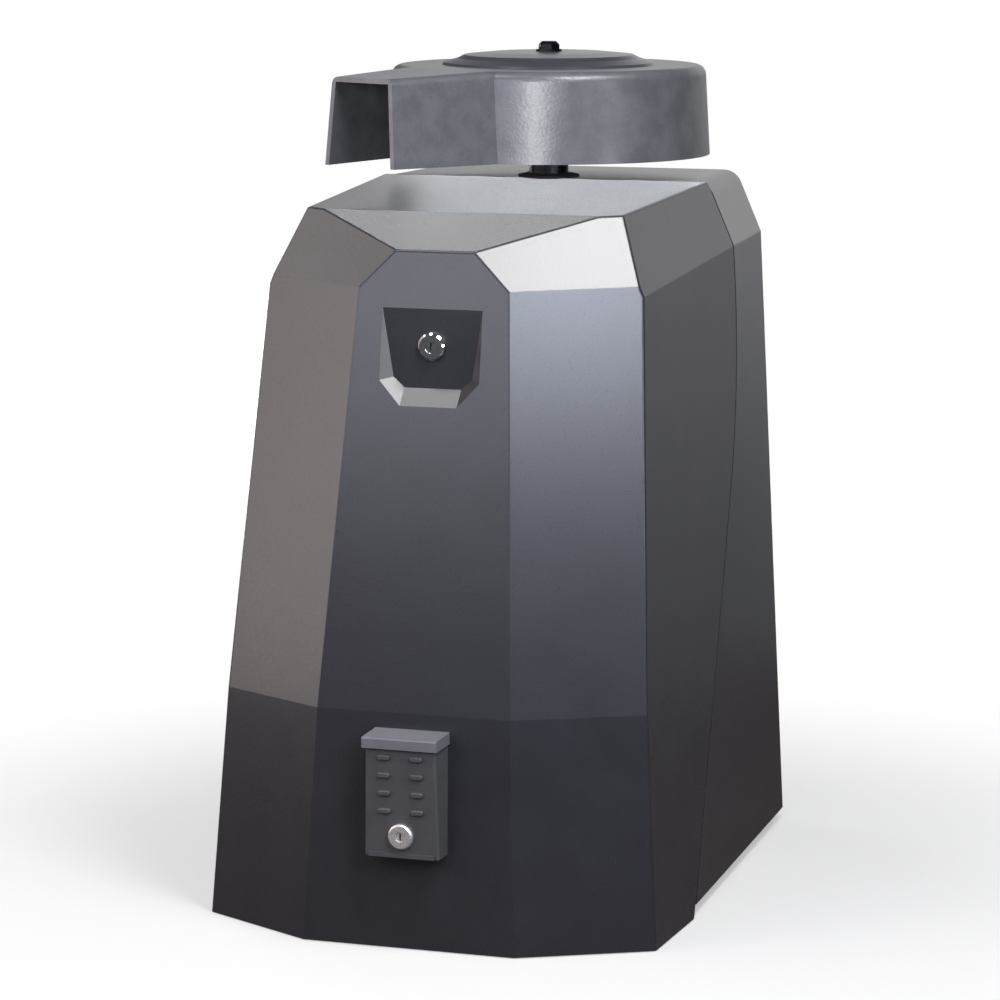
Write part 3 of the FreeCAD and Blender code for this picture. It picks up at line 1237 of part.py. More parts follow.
def chassis_parts(gear, lock, motor):
    t = base_thickness
    base = box(-base_half_x, base_half_x, base_front_y, base_rear_y, 0, t)
    base = rounded(base, base_round, lambda e: e.BoundBox.ZLength > 0.9 * t)
    anchors = [rod(anchor_r, V(x, y, -1), UP, t + 2)
               for x in (-anchor_x / 2, anchor_x / 2) for y in (-anchor_y / 2, anchor_y / 2)]
    conduit_y = base_front_y + conduit_inset
    conduit = rounded(box(-conduit_half, conduit_half, conduit_y, conduit_y + conduit_depth, -1, t + 1),
                      0.6 * base_round, lambda e: e.BoundBox.ZLength > t)

    bolts, holes = [], []
    foot_shank = frame_wall + t - 2
    deck_shank = frame_wall + deck_thickness - 1
    shelf_shank = frame_wall + shelf_wall
    for side in (-1, 1):
        x = side * (frame_x - frame_flange / 2)
        for y in (frame_front_y + 0.7 * frame_flange, frame_rear_y - 0.7 * frame_flange):
            at = V(x, y, t + frame_wall)
            bolts.append(cap_screw(at, UP, bolt_head_r, bolt_head_h, bolt_r, foot_shank))
            holes.append(rod(bolt_r + screw_fit, at - UP * 2 * foot_shank, UP, 2 * foot_shank + 1))
            under = V(x, y, deck_z - frame_wall)
            bolts.append(cap_screw(under, UP * -1, bolt_head_r, bolt_head_h, bolt_r, deck_shank))
            holes.append(rod(bolt_r + screw_fit, under - UP, UP, deck_shank + 2))
        out = RIGHT * side
        for y, z in motor["shelf_bolt_spots"]:
            at = V(side * (frame_x + frame_wall), y, z)
            bolts.append(cap_screw(at, out, 1.6 * small_bolt_r, small_bolt_r, small_bolt_r, shelf_shank))
            holes.append(rod(small_bolt_r + screw_fit, at - out * (shelf_shank + 2), out, shelf_shank + 4))
    deck = box(-frame_x - frame_wall, frame_x + frame_wall, frame_front_y, frame_rear_y, deck_z, deck_top_z)
    tongue_x = (strike_left + strike_right) / 2
    tongue = box(tongue_x - tongue_half, tongue_x + tongue_half, frame_front_y - tongue_reach, frame_front_y,
                 deck_z, deck_top_z)
    deck = joined(deck, tongue).cut(holes + gear["foot_holes"] + lock["deck_holes"])
    sides = [frame_side(side).cut(holes + gear["foot_holes"]) for side in (-1, 1)]
    bolts += lock["strike_screws"] + gear["foot_bolts"] + motor["bolts"]
    return base.cut(anchors + [conduit] + holes), sides, deck, group(bolts), motor["shelf"].cut(holes)


# Controls

def circuit_board(face):
    """Board with relays, plug sockets, cans, chips and a terminal strip, and its posts on the tray."""
    back = face - board_standoff
    front = back - board_thickness
    left, low = -board_half, board_low_z

    def block(x, z, width, height, depth):
        return box(x, x + width, front - depth, back, z, z + height)

    parts = [block(left, low, 2 * board_half, board_height, 0)]
    row = low + 0.2 * board_height
    upper_row = low + 0.48 * board_height
    for k in range(3):
        relay_x = left + 0.18 * board_half + k * relay_pitch
        plug_x = 0.27 * board_half + k * plug_pitch
        can = V(plug_x + plug_width / 2, back, low + 0.29 * board_height)
        parts.append(block(relay_x, row, relay_width, relay_width, relay_depth))
        parts.append(block(plug_x, upper_row, plug_width, 2 * plug_width, plug_depth))
        parts.append(rod(can_r, can, BACK * -1, can_h))
    for k in range(2):
        chip_x = left + 0.27 * board_half + 1.25 * k * chip_width
        parts.append(block(chip_x, upper_row, chip_width, chip_width / 2, chip_depth))
    strip = block(left + terminal_pitch / 2, low + 2, 2 * board_half - terminal_pitch, terminal_height,
                  terminal_depth)
    count = int((2 * board_half - terminal_pitch) / terminal_pitch)
    wire_holes = [rod(terminal_hole_r, V(left + terminal_pitch * (k + 1), front - terminal_depth - 1,
                                         low + 2 + terminal_height / 2), BACK, 0.8 * terminal_depth)
                  for k in range(count)]
    x = board_half - board_post_inset
    posts = [rod(board_post_r, V(side * x, back, z), BACK, board_standoff) for side in (-1, 1)
             for z in (low + board_post_inset, board_top_z - board_post_inset)]
    return joined(*parts, strip.cut(wire_holes)), posts


def transformer(face):
    """Laminated core with two windows and the coil that passes through them, bulging in front."""
    x0, x1 = transformer_x - transformer_width / 2, transformer_x + transformer_width / 2
    z0, z1 = transformer_z - transformer_height / 2, transformer_z + transformer_height / 2
    limb = transformer_limb
    core = box(x0, x1, face - transformer_depth, face, z0, z1)
    windows = [box(x, x + 0.85 * limb, face - 2 * transformer_depth, face + 1, z0 + limb, z1 - limb)
               for x in (x0 + limb, x1 - 1.85 * limb)]
    coil = box(x0 + limb + 1, x1 - limb - 1, face - transformer_depth - coil_bulge, face - 2,
               z0 + limb + 1, z1 - limb - 1)
    coil = rounded(coil, coil_bulge / 2, lambda e: e.BoundBox.YLength < 1 and e.BoundBox.ZLength > limb)
    return joined(core.cut(windows), coil)


def outlet_parts(face):
    """Outlet box with a duplex receptacle, and the power switch whose toggle turns between two carriers."""
    x0, x1, z0, z1 = outlet_x, outlet_x + outlet_width, outlet_z, outlet_z + outlet_height
    plate = face - outlet_depth
    t = outlet_wall
    shell = box(x0, x1, plate, face, z0, z1).cut(box(x0 + t, x1 - t, plate + t, face + 1, z0 + t, z1 - t))
    middle = V(x0 + puck_x, plate, (z0 + z1) / 2)
    pucks, cutouts = [], []
    blade = puck_width / 20
    for z in (middle.z - puck_pitch / 2, middle.z + puck_pitch / 2):
        hole = box(middle.x - puck_width / 2, middle.x + puck_width / 2, plate - 1.5 * t, plate + 5 * t,
                   z - puck_height / 2, z + puck_height / 2)
        puck = rounded(hole, puck_height / 4, lambda e: e.BoundBox.YLength > 5)
        slots = [box(middle.x + side * puck_width / 6 - blade / 2, middle.x + side * puck_width / 6 + blade / 2,
                     plate - 2 * t, plate + 2 * t, z - 1.5 * blade, z + 3 * blade) for side in (-1, 1)]
        earth = rod(1.2 * blade, V(middle.x, plate - 2 * t, z - 4 * blade), BACK, 4 * t)
        pucks.append(puck.cut(slots + [earth]))
        cutouts.append(hole)
    yoke_half = puck_pitch / 2 + 0.45 * puck_height
    yoke = box(middle.x - 0.45 * puck_width, middle.x + 0.45 * puck_width, plate + t, plate + 7 * t,
               middle.z - yoke_half, middle.z + yoke_half)

    pivot = V(x0 + toggle_x, plate + 2.5 * t, middle.z)
    half, reach = toggle_width / 2, toggle_length
    outline = [(0.2, -0.18), (0.2, 0.18), (1, 0.12), (1, -0.12)]
    bat = sheet([pivot + V(-half, -y * reach, z * reach) for y, z in outline], RIGHT * toggle_width)
    pin_half = half + t / 2
    toggle = joined(rod(toggle_pivot_r, pivot - RIGHT * pin_half, RIGHT, 2 * pin_half), bat)
    toggle.rotate(pivot, RIGHT, -toggle_tilt)
    well_half = 0.8 * toggle_length
    well = box(pivot.x - half - 1.5 * t, pivot.x + half + 1.5 * t, plate - 1, plate + t + 1,
               pivot.z - well_half, pivot.z + well_half)
    tall = 2 * toggle_pivot_r
    carriers = [box(x, x + 1.5 * t, plate + t / 2, pivot.y + tall - 2, pivot.z - tall, pivot.z + tall)
                for x in (pivot.x - pin_half - fit - 1.5 * t, pivot.x + pin_half + fit)]
    bridges = [box(x, x + 2 * t, plate + t / 2, plate + t, pivot.z - tall, pivot.z + tall)
               for x in (pivot.x - pin_half - fit - 3 * t, pivot.x + pin_half + fit + t)]
    shell = joined(shell.cut([well] + cutouts), *carriers, *bridges)
    return shell, joined(yoke, *pucks), toggle


def control_parts():
    t = base_thickness
    face = tray_y - tray_wall
    back = box(-tray_half, tray_half, face, tray_y, t, tray_top_z)
    foot = box(-tray_half, tray_half, face, tray_y + tray_foot, t, t + tray_wall)
    cheeks = [box(x, x + tray_wall, tray_y - tray_flange, tray_y, t, tray_top_z)
              for x in (-tray_half, tray_half - tray_wall)]
    board, posts = circuit_board(face)
    outlet_box, outlet, toggle = outlet_parts(face)
    return dict(tray=joined(back, foot, *cheeks, *posts), board=board, transformer=transformer(face),
                outlet_box=outlet_box, outlet=outlet, toggle=toggle)


def shaft_grommet():
    inner = shaft_top_r + 2 * fit
    neck = shaft_hole_r - fit
    brim = shaft_hole_r + wall
    lip = wall / 2
    over = roof_z + fit
    under = roof_z - wall - 3 * fit
    return spun([(inner, under - lip), (brim, under - lip), (brim, under), (neck, under), (neck, over),
                 (brim, over), (brim, over + lip), (inner + lip, over + 2 * lip), (inner, over + 2 * lip)],
                axis)


def build():
    front, rear = housing_shells()
    standoffs, cover_screws, cover_holes = rear_cover_fasteners()
    lock = lock_parts()
    key_box = key_box_parts()
    disc, washer, bolt, tapped, hub_key = hub_top_parts()
    key_half = wheel_width
    wheel_key = box(0.8 * shaft_r, 1.2 * shaft_r, hub_y - 0.3 * shaft_r, hub_y + 0.3 * shaft_r,
                    worm_z - key_half, worm_z + key_half)
    gear = gearbox_parts()
    motor = motor_parts()
    cams, switches, levers, limit_bracket = limit_parts()
    base, sides, deck, frame_bolts, shelf = chassis_parts(gear, lock, motor)
    control = control_parts()
    big = V(worm_x, pulley_y, worm_z)
    small = V(motor_x, pulley_y, motor_z)
    return {
        "front_cover": front.cut(lock["hole"]),
        "rear_cover": rear.cut(cover_holes),
        "cover_standoffs": standoffs,
        "rear_cover_screws": cover_screws,
        "shaft_grommet": shaft_grommet(),
        "cover_lock_body": lock["body"],
        "cover_lock_plug": lock["plug"],
        "cover_lock_cam": lock["cam"],
        "cover_lock_nut": lock["nut"],
        "lock_strike": lock["strike"],
        "key_box_body": key_box["body"],
        "key_box_hood": key_box["hood"],
        "reset_switch_body": key_box["switch"],
        "reset_switch_plug": key_box["plug"],
        "reset_switch_nut": key_box["nut"],
        "alarm_sounder": key_box["sounder"],
        "arm_hub": arm_hub().cut(hub_key),
        "hub_disc": disc,
        "hub_washer": washer,
        "hub_bolt": bolt,
        "shaft_keys": group([hub_key, wheel_key]),
        "output_shaft": output_shaft([hub_key, wheel_key], tapped),
        "worm_wheel": worm_wheel(wheel_key),
        "worm_shaft": worm_shaft(),
        "gearbox_housing": gear["housing"],
        "gearbox_cover": gear["cover"],
        "gearbox_cover_bolts": gear["cover_bolts"],
        "ball_bearings": group(gear["bearings"] + motor["bearings"]),
        "output_seal": gear["seal"],
        "worm_cap_front": gear["cap_front"],
        "worm_cap_rear": gear["cap_rear"],
        "oil_plug": gear["oil_plug"],
        "drive_pulley": pulley(drive_pulley_r, big, worm_journal_r - nose_step),
        "motor_pulley": pulley(motor_pulley_r, small, motor_shaft_r),
        "v_belt": v_belt(big, small),
        "motor_housing": motor["housing"],
        "motor_stator": motor["stator"],
        "motor_rotor": motor["rotor"],
        "motor_bell_front": motor["bell_front"],
        "motor_bell_rear": motor["bell_rear"],
        "motor_cradle": motor["cradle"],
        "motor_shelf": shelf,
        "motor_capacitor": motor["capacitor"],
        "limit_cam_open": cams[0],
        "limit_cam_close": cams[1],
        "limit_bracket": limit_bracket,
        "limit_switches": switches,
        "limit_lever_open": levers[0],
        "limit_lever_close": levers[1],
        "base_plate": base,
        "frame_side_left": sides[0],
        "frame_side_right": sides[1],
        "gearbox_deck": deck,
        "frame_bolts": frame_bolts,
        "control_tray": control["tray"],
        "circuit_board": control["board"],
        "transformer": control["transformer"],
        "outlet_box": control["outlet_box"],
        "outlet": control["outlet"],
        "power_switch": control["toggle"],
    }


def main():
    os.makedirs("parts", exist_ok=True)
    for name, shape in build().items():
        shape.exportStep(f"parts/{name}.step")
        solids = len(shape.Solids)
        print(f"{name:22s} solids {solids}  volume {shape.Volume / 1000:10.2f} cm3  valid {shape.isValid()}")


main()
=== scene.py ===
import bpy
import json
import math
import numpy as np
from mathutils import Matrix, Vector

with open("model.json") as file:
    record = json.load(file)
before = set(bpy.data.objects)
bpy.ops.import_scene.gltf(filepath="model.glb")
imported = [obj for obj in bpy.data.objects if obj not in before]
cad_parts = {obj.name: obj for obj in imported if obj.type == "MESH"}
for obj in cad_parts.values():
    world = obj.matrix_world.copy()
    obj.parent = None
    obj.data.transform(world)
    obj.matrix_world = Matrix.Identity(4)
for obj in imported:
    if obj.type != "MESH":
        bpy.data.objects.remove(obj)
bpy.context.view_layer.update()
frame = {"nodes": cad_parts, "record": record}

MM = 0.001

# The photograph's camera, in metres, degrees and millimetres: right of the front, a little above the housing
CAMERA_AT = (1.1352, -3.5485, 0.9936)
CAMERA_TURN = 17.85
CAMERA_TILT = 9.39
CAMERA_LENS = 136.8
SENSOR = 36.0

# The studio, in metres
FLOOR_R = 1.3
FLOOR_SIDES = 96
FLOOR_Z = -0.0005
FLOOR_FADE = (0.3, 0.95)    # distances from the middle between which the floor turns white
FLOOR_LEAST_WHITE = 0.45    # share of white within the first distance
AMBIENT = 0.17              # strength of the dim light that comes from everywhere
BACKDROP_DARK = 0.04        # what is left of the backdrop's white beyond each of its edges
# Edges of the backdrop: an axis of the direction that is looked in, where it is dark and where it is white
BACKDROP_EDGES = (("Y", 0.72, 0.93), ("Z", -0.2, 0.1), ("Z", 0.5, 0.3), ("X", -0.46, -0.28))
# Nodes that the front right lamp passes by
HUB = ("arm_hub", "hub_disc", "hub_washer", "hub_bolt")

# Sockets of a mix of two colours, which share their names with those of other mixes
MIX_A, MIX_B, MIX_RESULT = 6, 7, 2
WAVE = 2 * math.pi / 20     # width of one band of a wave texture at a scale of 1

# Where things are on the circuit board and in the transformer, in millimetres
BOARD_PARTS_Y = (-110, -78.5)
BOARD_RIGHT_X = (28, 97)
CANS_Z = (244, 266)
CAN_TOPS_Y = (-103, -101.8)
PLUG_SOCKETS_Z = (290, 329)
STRIP_Z = (201, 221)
STRIP_SCREWS_Y = (-82.2, -81.4)
COIL_X = (-117.5, -66.5)
COIL_Z = (54.5, 93.5)


# Building blocks of the materials. An output is a pair of a node and the output's name

def linear(hex_colour):
    """Linear RGBA of an sRGB hex value: each channel through the sRGB curve."""
    c = np.array([int(hex_colour[i:i + 2], 16) for i in (1, 3, 5)]) / 255.0
    rgb = np.where(c <= 0.04045, c / 12.92, ((c + 0.055) / 1.055) ** 2.4)
    return (*rgb.tolist(), 1.0)


def add(tree, kind, settings=None, links=None, **attributes):
    """Adds one node: attributes, then socket values, then links {socket: (node, output)}."""
    made = tree.nodes.new(kind)
    for name, value in attributes.items():
        setattr(made, name, value)
    for name, value in (settings or {}).items():
        made.inputs[name].default_value = value
    for name, (source, output) in (links or {}).items():
        tree.links.new(source.outputs[output], made.inputs[name])
    return made


def empty_tree(holder):
    """The node tree of a new material or world, with nothing in it."""
    holder.use_nodes = True
    holder.node_tree.nodes.clear()
    return holder.node_tree


def start_material(name):
    """A new material, its empty tree, and the output that gives a point's place on the piece."""
    material = bpy.data.materials.new(name)
    tree = empty_tree(material)
    return material, tree, (add(tree, "ShaderNodeTexCoord"), "Object")


def end_material(tree, settings, links):
    """The material's surface: one principled shader, with constants on its sockets and patterns linked in."""
    shader = add(tree, "ShaderNodeBsdfPrincipled", settings, links)
    add(tree, "ShaderNodeOutputMaterial", links={"Surface": (shader, "BSDF")})


def shades(tree, pattern, low, high, dark, light):
    """Colour that goes in a straight line from dark to light while the pattern goes from low to high."""
    share = add(tree, "ShaderNodeMapRange", {"From Min": low, "From Max": high}, {"Value": pattern})
    mixed = add(tree, "ShaderNodeMix", {MIX_A: linear(dark), MIX_B: linear(light)}, {0: (share, "Result")},
                data_type="RGBA")
    return mixed, MIX_RESULT


def product(tree, outputs):
    """All outputs multiplied with each other."""
    result, *others = outputs
    for other in others:
        result = add(tree, "ShaderNodeMath", links={0: result, 1: other}, operation="MULTIPLY"), "Value"
    return result


def zone(tree, place, **ranges):
    """1 inside a box and 0 outside it: for each axis, whether the place is within half the range of its
    middle, all multiplied. Ranges are in millimetres."""
    axes = add(tree, "ShaderNodeSeparateXYZ", links={"Vector": place})
    inside = []
    for axis, (low, high) in ranges.items():
        middle, half = (low + high) / 2 * MM, (high - low) / 2 * MM
        check = add(tree, "ShaderNodeMath", {1: middle, 2: half}, {0: (axes, axis)}, operation="COMPARE")
        inside.append((check, "Value"))
    return product(tree, inside)


# Kinds of surface

def speckled(name, dark, light, patch_mm, rough, metallic, grain_mm, grain_depth_mm, coat=0.0):
    """A sprayed, cast or moulded surface: noise as wide as a patch blends two near shades, and finer noise,
    as wide as a grain, moves the roughness between its limits and raises the surface by the grain's depth."""
    material, tree, place = start_material(name)
    patches = add(tree, "ShaderNodeTexNoise", {"Scale": 1 / (patch_mm * MM), "Detail": 4.0, "Roughness": 0.6},
                  {"Vector": place})
    grain = add(tree, "ShaderNodeTexNoise", {"Scale": 1 / (grain_mm * MM), "Detail": 2.0}, {"Vector": place})
    gloss = add(tree, "ShaderNodeMapRange", {"To Min": rough[0], "To Max": rough[1]},
                {"Value": (grain, "Fac")})
    relief = add(tree, "ShaderNodeBump", {"Strength": 0.6, "Distance": grain_depth_mm * MM},
                 {"Height": (grain, "Fac")})
    end_material(tree, {"Metallic": metallic, "Coat Weight": coat, "Coat Roughness": 0.2},
                 {"Base Color": shades(tree, (patches, "Fac"), 0.25, 0.75, dark, light),
                  "Roughness": (gloss, "Result"), "Normal": (relief, "Normal")})
    return material


def drawn(name, dark, light, rough, stretch, line_mm):
    """Bare or plated metal: noise as wide as a tool line, drawn out along the axes whose stretch is small,
    blends two shades, moves the roughness between its limits and scratches the surface."""
    material, tree, place = start_material(name)
    scale = tuple(s / (line_mm * MM) for s in stretch)
    lines = add(tree, "ShaderNodeMapping", {"Scale": scale}, {"Vector": place})
    marks = add(tree, "ShaderNodeTexNoise", {"Scale": 1.0, "Detail": 3.0}, {"Vector": (lines, "Vector")})
    gloss = add(tree, "ShaderNodeMapRange", {"To Min": rough[0], "To Max": rough[1]},
                {"Value": (marks, "Fac")})
    relief = add(tree, "ShaderNodeBump", {"Strength": 0.25, "Distance": 0.05 * MM},
                 {"Height": (marks, "Fac")})
    end_material(tree, {"Metallic": 1.0},
                 {"Base Color": shades(tree, (marks, "Fac"), 0.3, 0.7, dark, light),
                  "Roughness": (gloss, "Result"), "Normal": (relief, "Normal")})
    return material


def hammered(name, dark, light, fleck, rough):
    """Enamel sprayed on a sand casting: wide noise blends two greys to clouds, the peaks of fine noise turn
    to weak pale flecks, and cells under the fine noise give the orange peel. Real flecks are half a
    millimetre wide and are drawn coarser, to show."""
    cloud_mm, peel_mm, fleck_mm = 24, 3.2, 1.4
    material, tree, place = start_material(name)
    clouds = add(tree, "ShaderNodeTexNoise", {"Scale": 1 / (cloud_mm * MM), "Detail": 5.0, "Roughness": 0.6},
                 {"Vector": place})
    cells = add(tree, "ShaderNodeTexVoronoi", {"Scale": 1 / (peel_mm * MM)}, {"Vector": place})
    fine = add(tree, "ShaderNodeTexNoise", {"Scale": 1 / (fleck_mm * MM), "Detail": 2.0}, {"Vector": place})
    peaks = add(tree, "ShaderNodeMapRange", {"From Min": 0.62, "From Max": 0.78, "To Max": 0.22},
                {"Value": (fine, "Fac")})
    flecked = add(tree, "ShaderNodeMix", {MIX_B: linear(fleck)},
                  {0: (peaks, "Result"), MIX_A: shades(tree, (clouds, "Fac"), 0.38, 0.62, dark, light)},
                  data_type="RGBA")
    gloss = add(tree, "ShaderNodeMapRange", {"To Min": rough[0], "To Max": rough[1]},
                {"Value": (fine, "Fac")})
    peel = add(tree, "ShaderNodeBump", {"Strength": 0.35, "Distance": 0.25 * MM},
               {"Height": (cells, "Distance")})
    grit = add(tree, "ShaderNodeBump", {"Strength": 0.3, "Distance": 0.12 * MM},
               {"Height": (fine, "Fac"), "Normal": (peel, "Normal")})
    end_material(tree, {"Metallic": 0.1, "Specular IOR Level": 0.4},
                 {"Base Color": (flecked, MIX_RESULT), "Roughness": (gloss, "Result"),
                  "Normal": (grit, "Normal")})
    return material


def spangled(name, dark, light, rough):
    """Hot-dip zinc: cells as wide as its crystals, each with one chance value for its shade and another for
    its roughness."""
    crystal_mm = 9
    material, tree, place = start_material(name)
    cells = add(tree, "ShaderNodeTexVoronoi", {"Scale": 1 / (crystal_mm * MM)}, {"Vector": place})
    chance = add(tree, "ShaderNodeSeparateColor", links={"Color": (cells, "Color")})
    gloss = add(tree, "ShaderNodeMapRange", {"To Min": rough[0], "To Max": rough[1]},
                {"Value": (chance, "Green")})
    end_material(tree, {"Metallic": 1.0},
                 {"Base Color": shades(tree, (chance, "Red"), 0.1, 0.9, dark, light),
                  "Roughness": (gloss, "Result")})
    return material


def populated_board(name):
    """Circuit board: bricks of green solder mask with copper tracks as their joints, and over them one colour
    for each kind of part, laid on where the part stands."""
    material, tree, place = start_material(name)
    upright = add(tree, "ShaderNodeMapping", {"Rotation": (math.pi / 2, 0, 0)}, {"Vector": place})
    tracks = add(tree, "ShaderNodeTexBrick",
                 {"Color1": linear("#0d3f1f"), "Color2": linear("#10481f"), "Mortar": linear("#2a7a3f"),
                  "Scale": 1.0, "Mortar Size": 0.7 * MM, "Brick Width": 21 * MM, "Row Height": 6.5 * MM},
                 {"Vector": (upright, "Vector")})
    can_tops = zone(tree, place, X=BOARD_RIGHT_X, Y=CAN_TOPS_Y, Z=CANS_Z)
    screws = zone(tree, place, Y=STRIP_SCREWS_Y, Z=STRIP_Z)
    shown = tracks, "Color"
    for mask, colour in (
            (zone(tree, place, Y=BOARD_PARTS_Y), "#17181b"),
            (zone(tree, place, X=BOARD_RIGHT_X, Y=BOARD_PARTS_Y, Z=CANS_Z), "#20335e"),
            (zone(tree, place, X=BOARD_RIGHT_X, Y=BOARD_PARTS_Y, Z=PLUG_SOCKETS_Z), "#d8d2c0"),
            (zone(tree, place, Y=BOARD_PARTS_Y, Z=STRIP_Z), "#2d8a4c"),
            (can_tops, "#b9babd"),
            (screws, "#c5c3bb")):
        laid_on = add(tree, "ShaderNodeMix", {MIX_B: linear(colour)}, {0: mask, MIX_A: shown},
                      data_type="RGBA")
        shown = laid_on, MIX_RESULT
    metal = add(tree, "ShaderNodeMath", links={0: can_tops, 1: screws}, operation="ADD", use_clamp=True)
    dust = add(tree, "ShaderNodeTexNoise", {"Scale": 1 / (4 * MM), "Detail": 3.0}, {"Vector": place})
    gloss = add(tree, "ShaderNodeMapRange", {"To Min": 0.22, "To Max": 0.42}, {"Value": (dust, "Fac")})
    relief = add(tree, "ShaderNodeBump", {"Strength": 0.2, "Distance": 0.1 * MM},
                 {"Height": (tracks, "Fac")})
    end_material(tree, {}, {"Base Color": shown, "Metallic": (metal, "Value"), "Roughness": (gloss, "Result"),
                            "Normal": (relief, "Normal")})
    return material


def wound_core(name):
    """Transformer: waves across the stack for the edges of its sheets and, inside the coil's box, waves up
    the coil for its turns of wire. Both are drawn coarser than real, to show."""
    sheet_mm, turn_mm = 3.77, 2.2
    material, tree, place = start_material(name)
    sheets = add(tree, "ShaderNodeTexWave",
                 {"Scale": WAVE / (sheet_mm * MM), "Distortion": 0.4, "Detail": 1.0},
                 {"Vector": place}, bands_direction="Y")
    turns = add(tree, "ShaderNodeTexWave", {"Scale": WAVE / (turn_mm * MM), "Distortion": 0.2},
                {"Vector": place}, bands_direction="Z")
    varnish = shades(tree, (sheets, "Fac"), 0.2, 0.8, "#2f2620", "#5a4a3c")
    copper = shades(tree, (turns, "Fac"), 0.1, 0.9, "#5e2a12", "#b5652f")
    coil = zone(tree, place, X=COIL_X, Z=COIL_Z)
    shown = add(tree, "ShaderNodeMix", links={0: coil, MIX_A: varnish, MIX_B: copper}, data_type="RGBA")
    relief = add(tree, "ShaderNodeBump", {"Strength": 0.4, "Distance": 0.3 * MM},
                 {"Height": (turns, "Fac")})
    end_material(tree, {"Metallic": 0.5, "Roughness": 0.4},
                 {"Base Color": (shown, MIX_RESULT), "Normal": (relief, "Normal")})
    return material


# Materials of the outside

# Moulded polyethylene: a smooth charcoal skin with soft reflections and a faint grain, drawn coarser than the
# real 0.3 mm
cover_plastic = speckled("moulded_charcoal_polyethylene", "#202024", "#26262b", 60, (0.25, 0.32), 0.0, 1.2,
                         0.03)
# Grey enamel over a casting: cloudy and a little flecked, with a highlight that the orange peel breaks up
hub_enamel = hammered("hammered_grey_enamel_on_casting", "#45464b", "#4f5055", "#94949a", (0.3, 0.4))
# The same enamel on pressed sheet: smoother than the casting round it, and darker as painted shade over the
# top of the hub
disc_enamel_with_painted_shade = speckled("satin_enamel_on_pressed_disc_painted_shade", "#303137", "#3a3b42", 30, (0.27, 0.35), 0.1, 1.6,
                       0.05)
# Moulded ABS: an even, dull grey with a fine grain
box_plastic = speckled("moulded_grey_abs", "#3a3b3d", "#434446", 25, (0.42, 0.52), 0.0, 0.9, 0.04)
# Paler ABS of the hood, as dull
hood_plastic = speckled("moulded_light_grey_abs", "#58575c", "#636267", 25, (0.45, 0.55), 0.0, 0.9, 0.04)
# Polished chrome: mirrors the lamps as small bright points and is dark between them
polished_chrome = drawn("polished_chrome_plating", "#c9cacd", "#e6e6e8", (0.05, 0.12), (1.0, 1.0, 1.0), 4.0)
# Satin nickel: even and bright, without clear reflections
satin_nickel = drawn("satin_nickel_plating", "#c4c5c2", "#e4e4e0", (0.42, 0.56), (1.0, 1.0, 1.0), 1.5)
# Black oxide on steel: nearly black, with a low oily shine. On the output shaft the same near black is
# painted shade in the gap under the hub
black_oxide_and_painted_shade = drawn("black_oxide_steel_and_painted_shade", "#1b1c1f", "#2c2d31", (0.3, 0.45), (1.0, 1.0, 1.0), 2.0)
# Neoprene: black and quite dull
belt_rubber = speckled("neoprene_belt_rubber", "#141414", "#1e1e1e", 12, (0.65, 0.85), 0.0, 0.8, 0.1)

# Materials of the inside

# Zinc plating: cool light grey, with fine lines along the depth of the part
zinc_plating = drawn("zinc_plated_steel", "#9a9ca0", "#c3c4c6", (0.28, 0.42), (1.0, 0.15, 1.0), 1.5)
# Galvanised sheet: a patchwork of crystals, some bright and some dull
zinc_spangle = spangled("hot_dip_galvanised_sheet", "#8b9094", "#b9bdc0", (0.28, 0.5))
# Ground steel: clean and bright, with fine level grinding marks
ground_steel = drawn("ground_steel_shafting", "#8f9193", "#bdbec0", (0.2, 0.34), (0.3, 0.3, 2.0), 1.2)
# Painted grey iron: dull, with the rough skin of the sand mould
grey_iron = speckled("painted_grey_iron_casting", "#494c50", "#5d6064", 9, (0.5, 0.72), 0.1, 2.0, 0.25)
# Powder coat: black and finely pebbled
powder_coat = speckled("black_powder_coat", "#1d1d1f", "#29292b", 20, (0.42, 0.6), 0.0, 1.0, 0.08)
# Motor enamel: blue grey under a thin clear gloss
motor_enamel = speckled("grey_motor_enamel", "#3c4148", "#474c54", 40, (0.3, 0.42), 0.0, 2.0, 0.06, coat=0.3)
# Machined bronze: warm brown yellow, with fine tool lines up the wheel's rim
gear_bronze = drawn("machined_gear_bronze", "#9d6c33", "#c8924d", (0.25, 0.4), (1.0, 1.0, 0.2), 1.0)
# Varnished laminations: the brown edges of thin sheets, side by side along the motor's depth
varnished_laminations = drawn("varnished_steel_laminations", "#3b3029", "#5a4a3d", (0.35, 0.5),
                              (0.2, 3.0, 0.2), 1.0)
# Phenolic moulding: black with a plain shine
black_plastic = speckled("black_phenolic_moulding", "#131416", "#1d1e21", 14, (0.3, 0.45), 0.0, 0.8, 0.04)
# Urea moulding: warm white with a plain shine
ivory_plastic = speckled("ivory_urea_moulding", "#d6cfbd", "#e2dccd", 18, (0.25, 0.35), 0.0, 1.0, 0.02)
# Board with its parts: shiny green with tracks, black relays and chips, blue cans with bright tops, ivory
# plug sockets, and a green terminal strip with nickel screws in its wells
solder_mask = populated_board("populated_circuit_board")
# Core and coil: dark brown with fine lines, round a coil of orange copper wire
coil_and_core = wound_core("transformer_core_and_copper_coil")

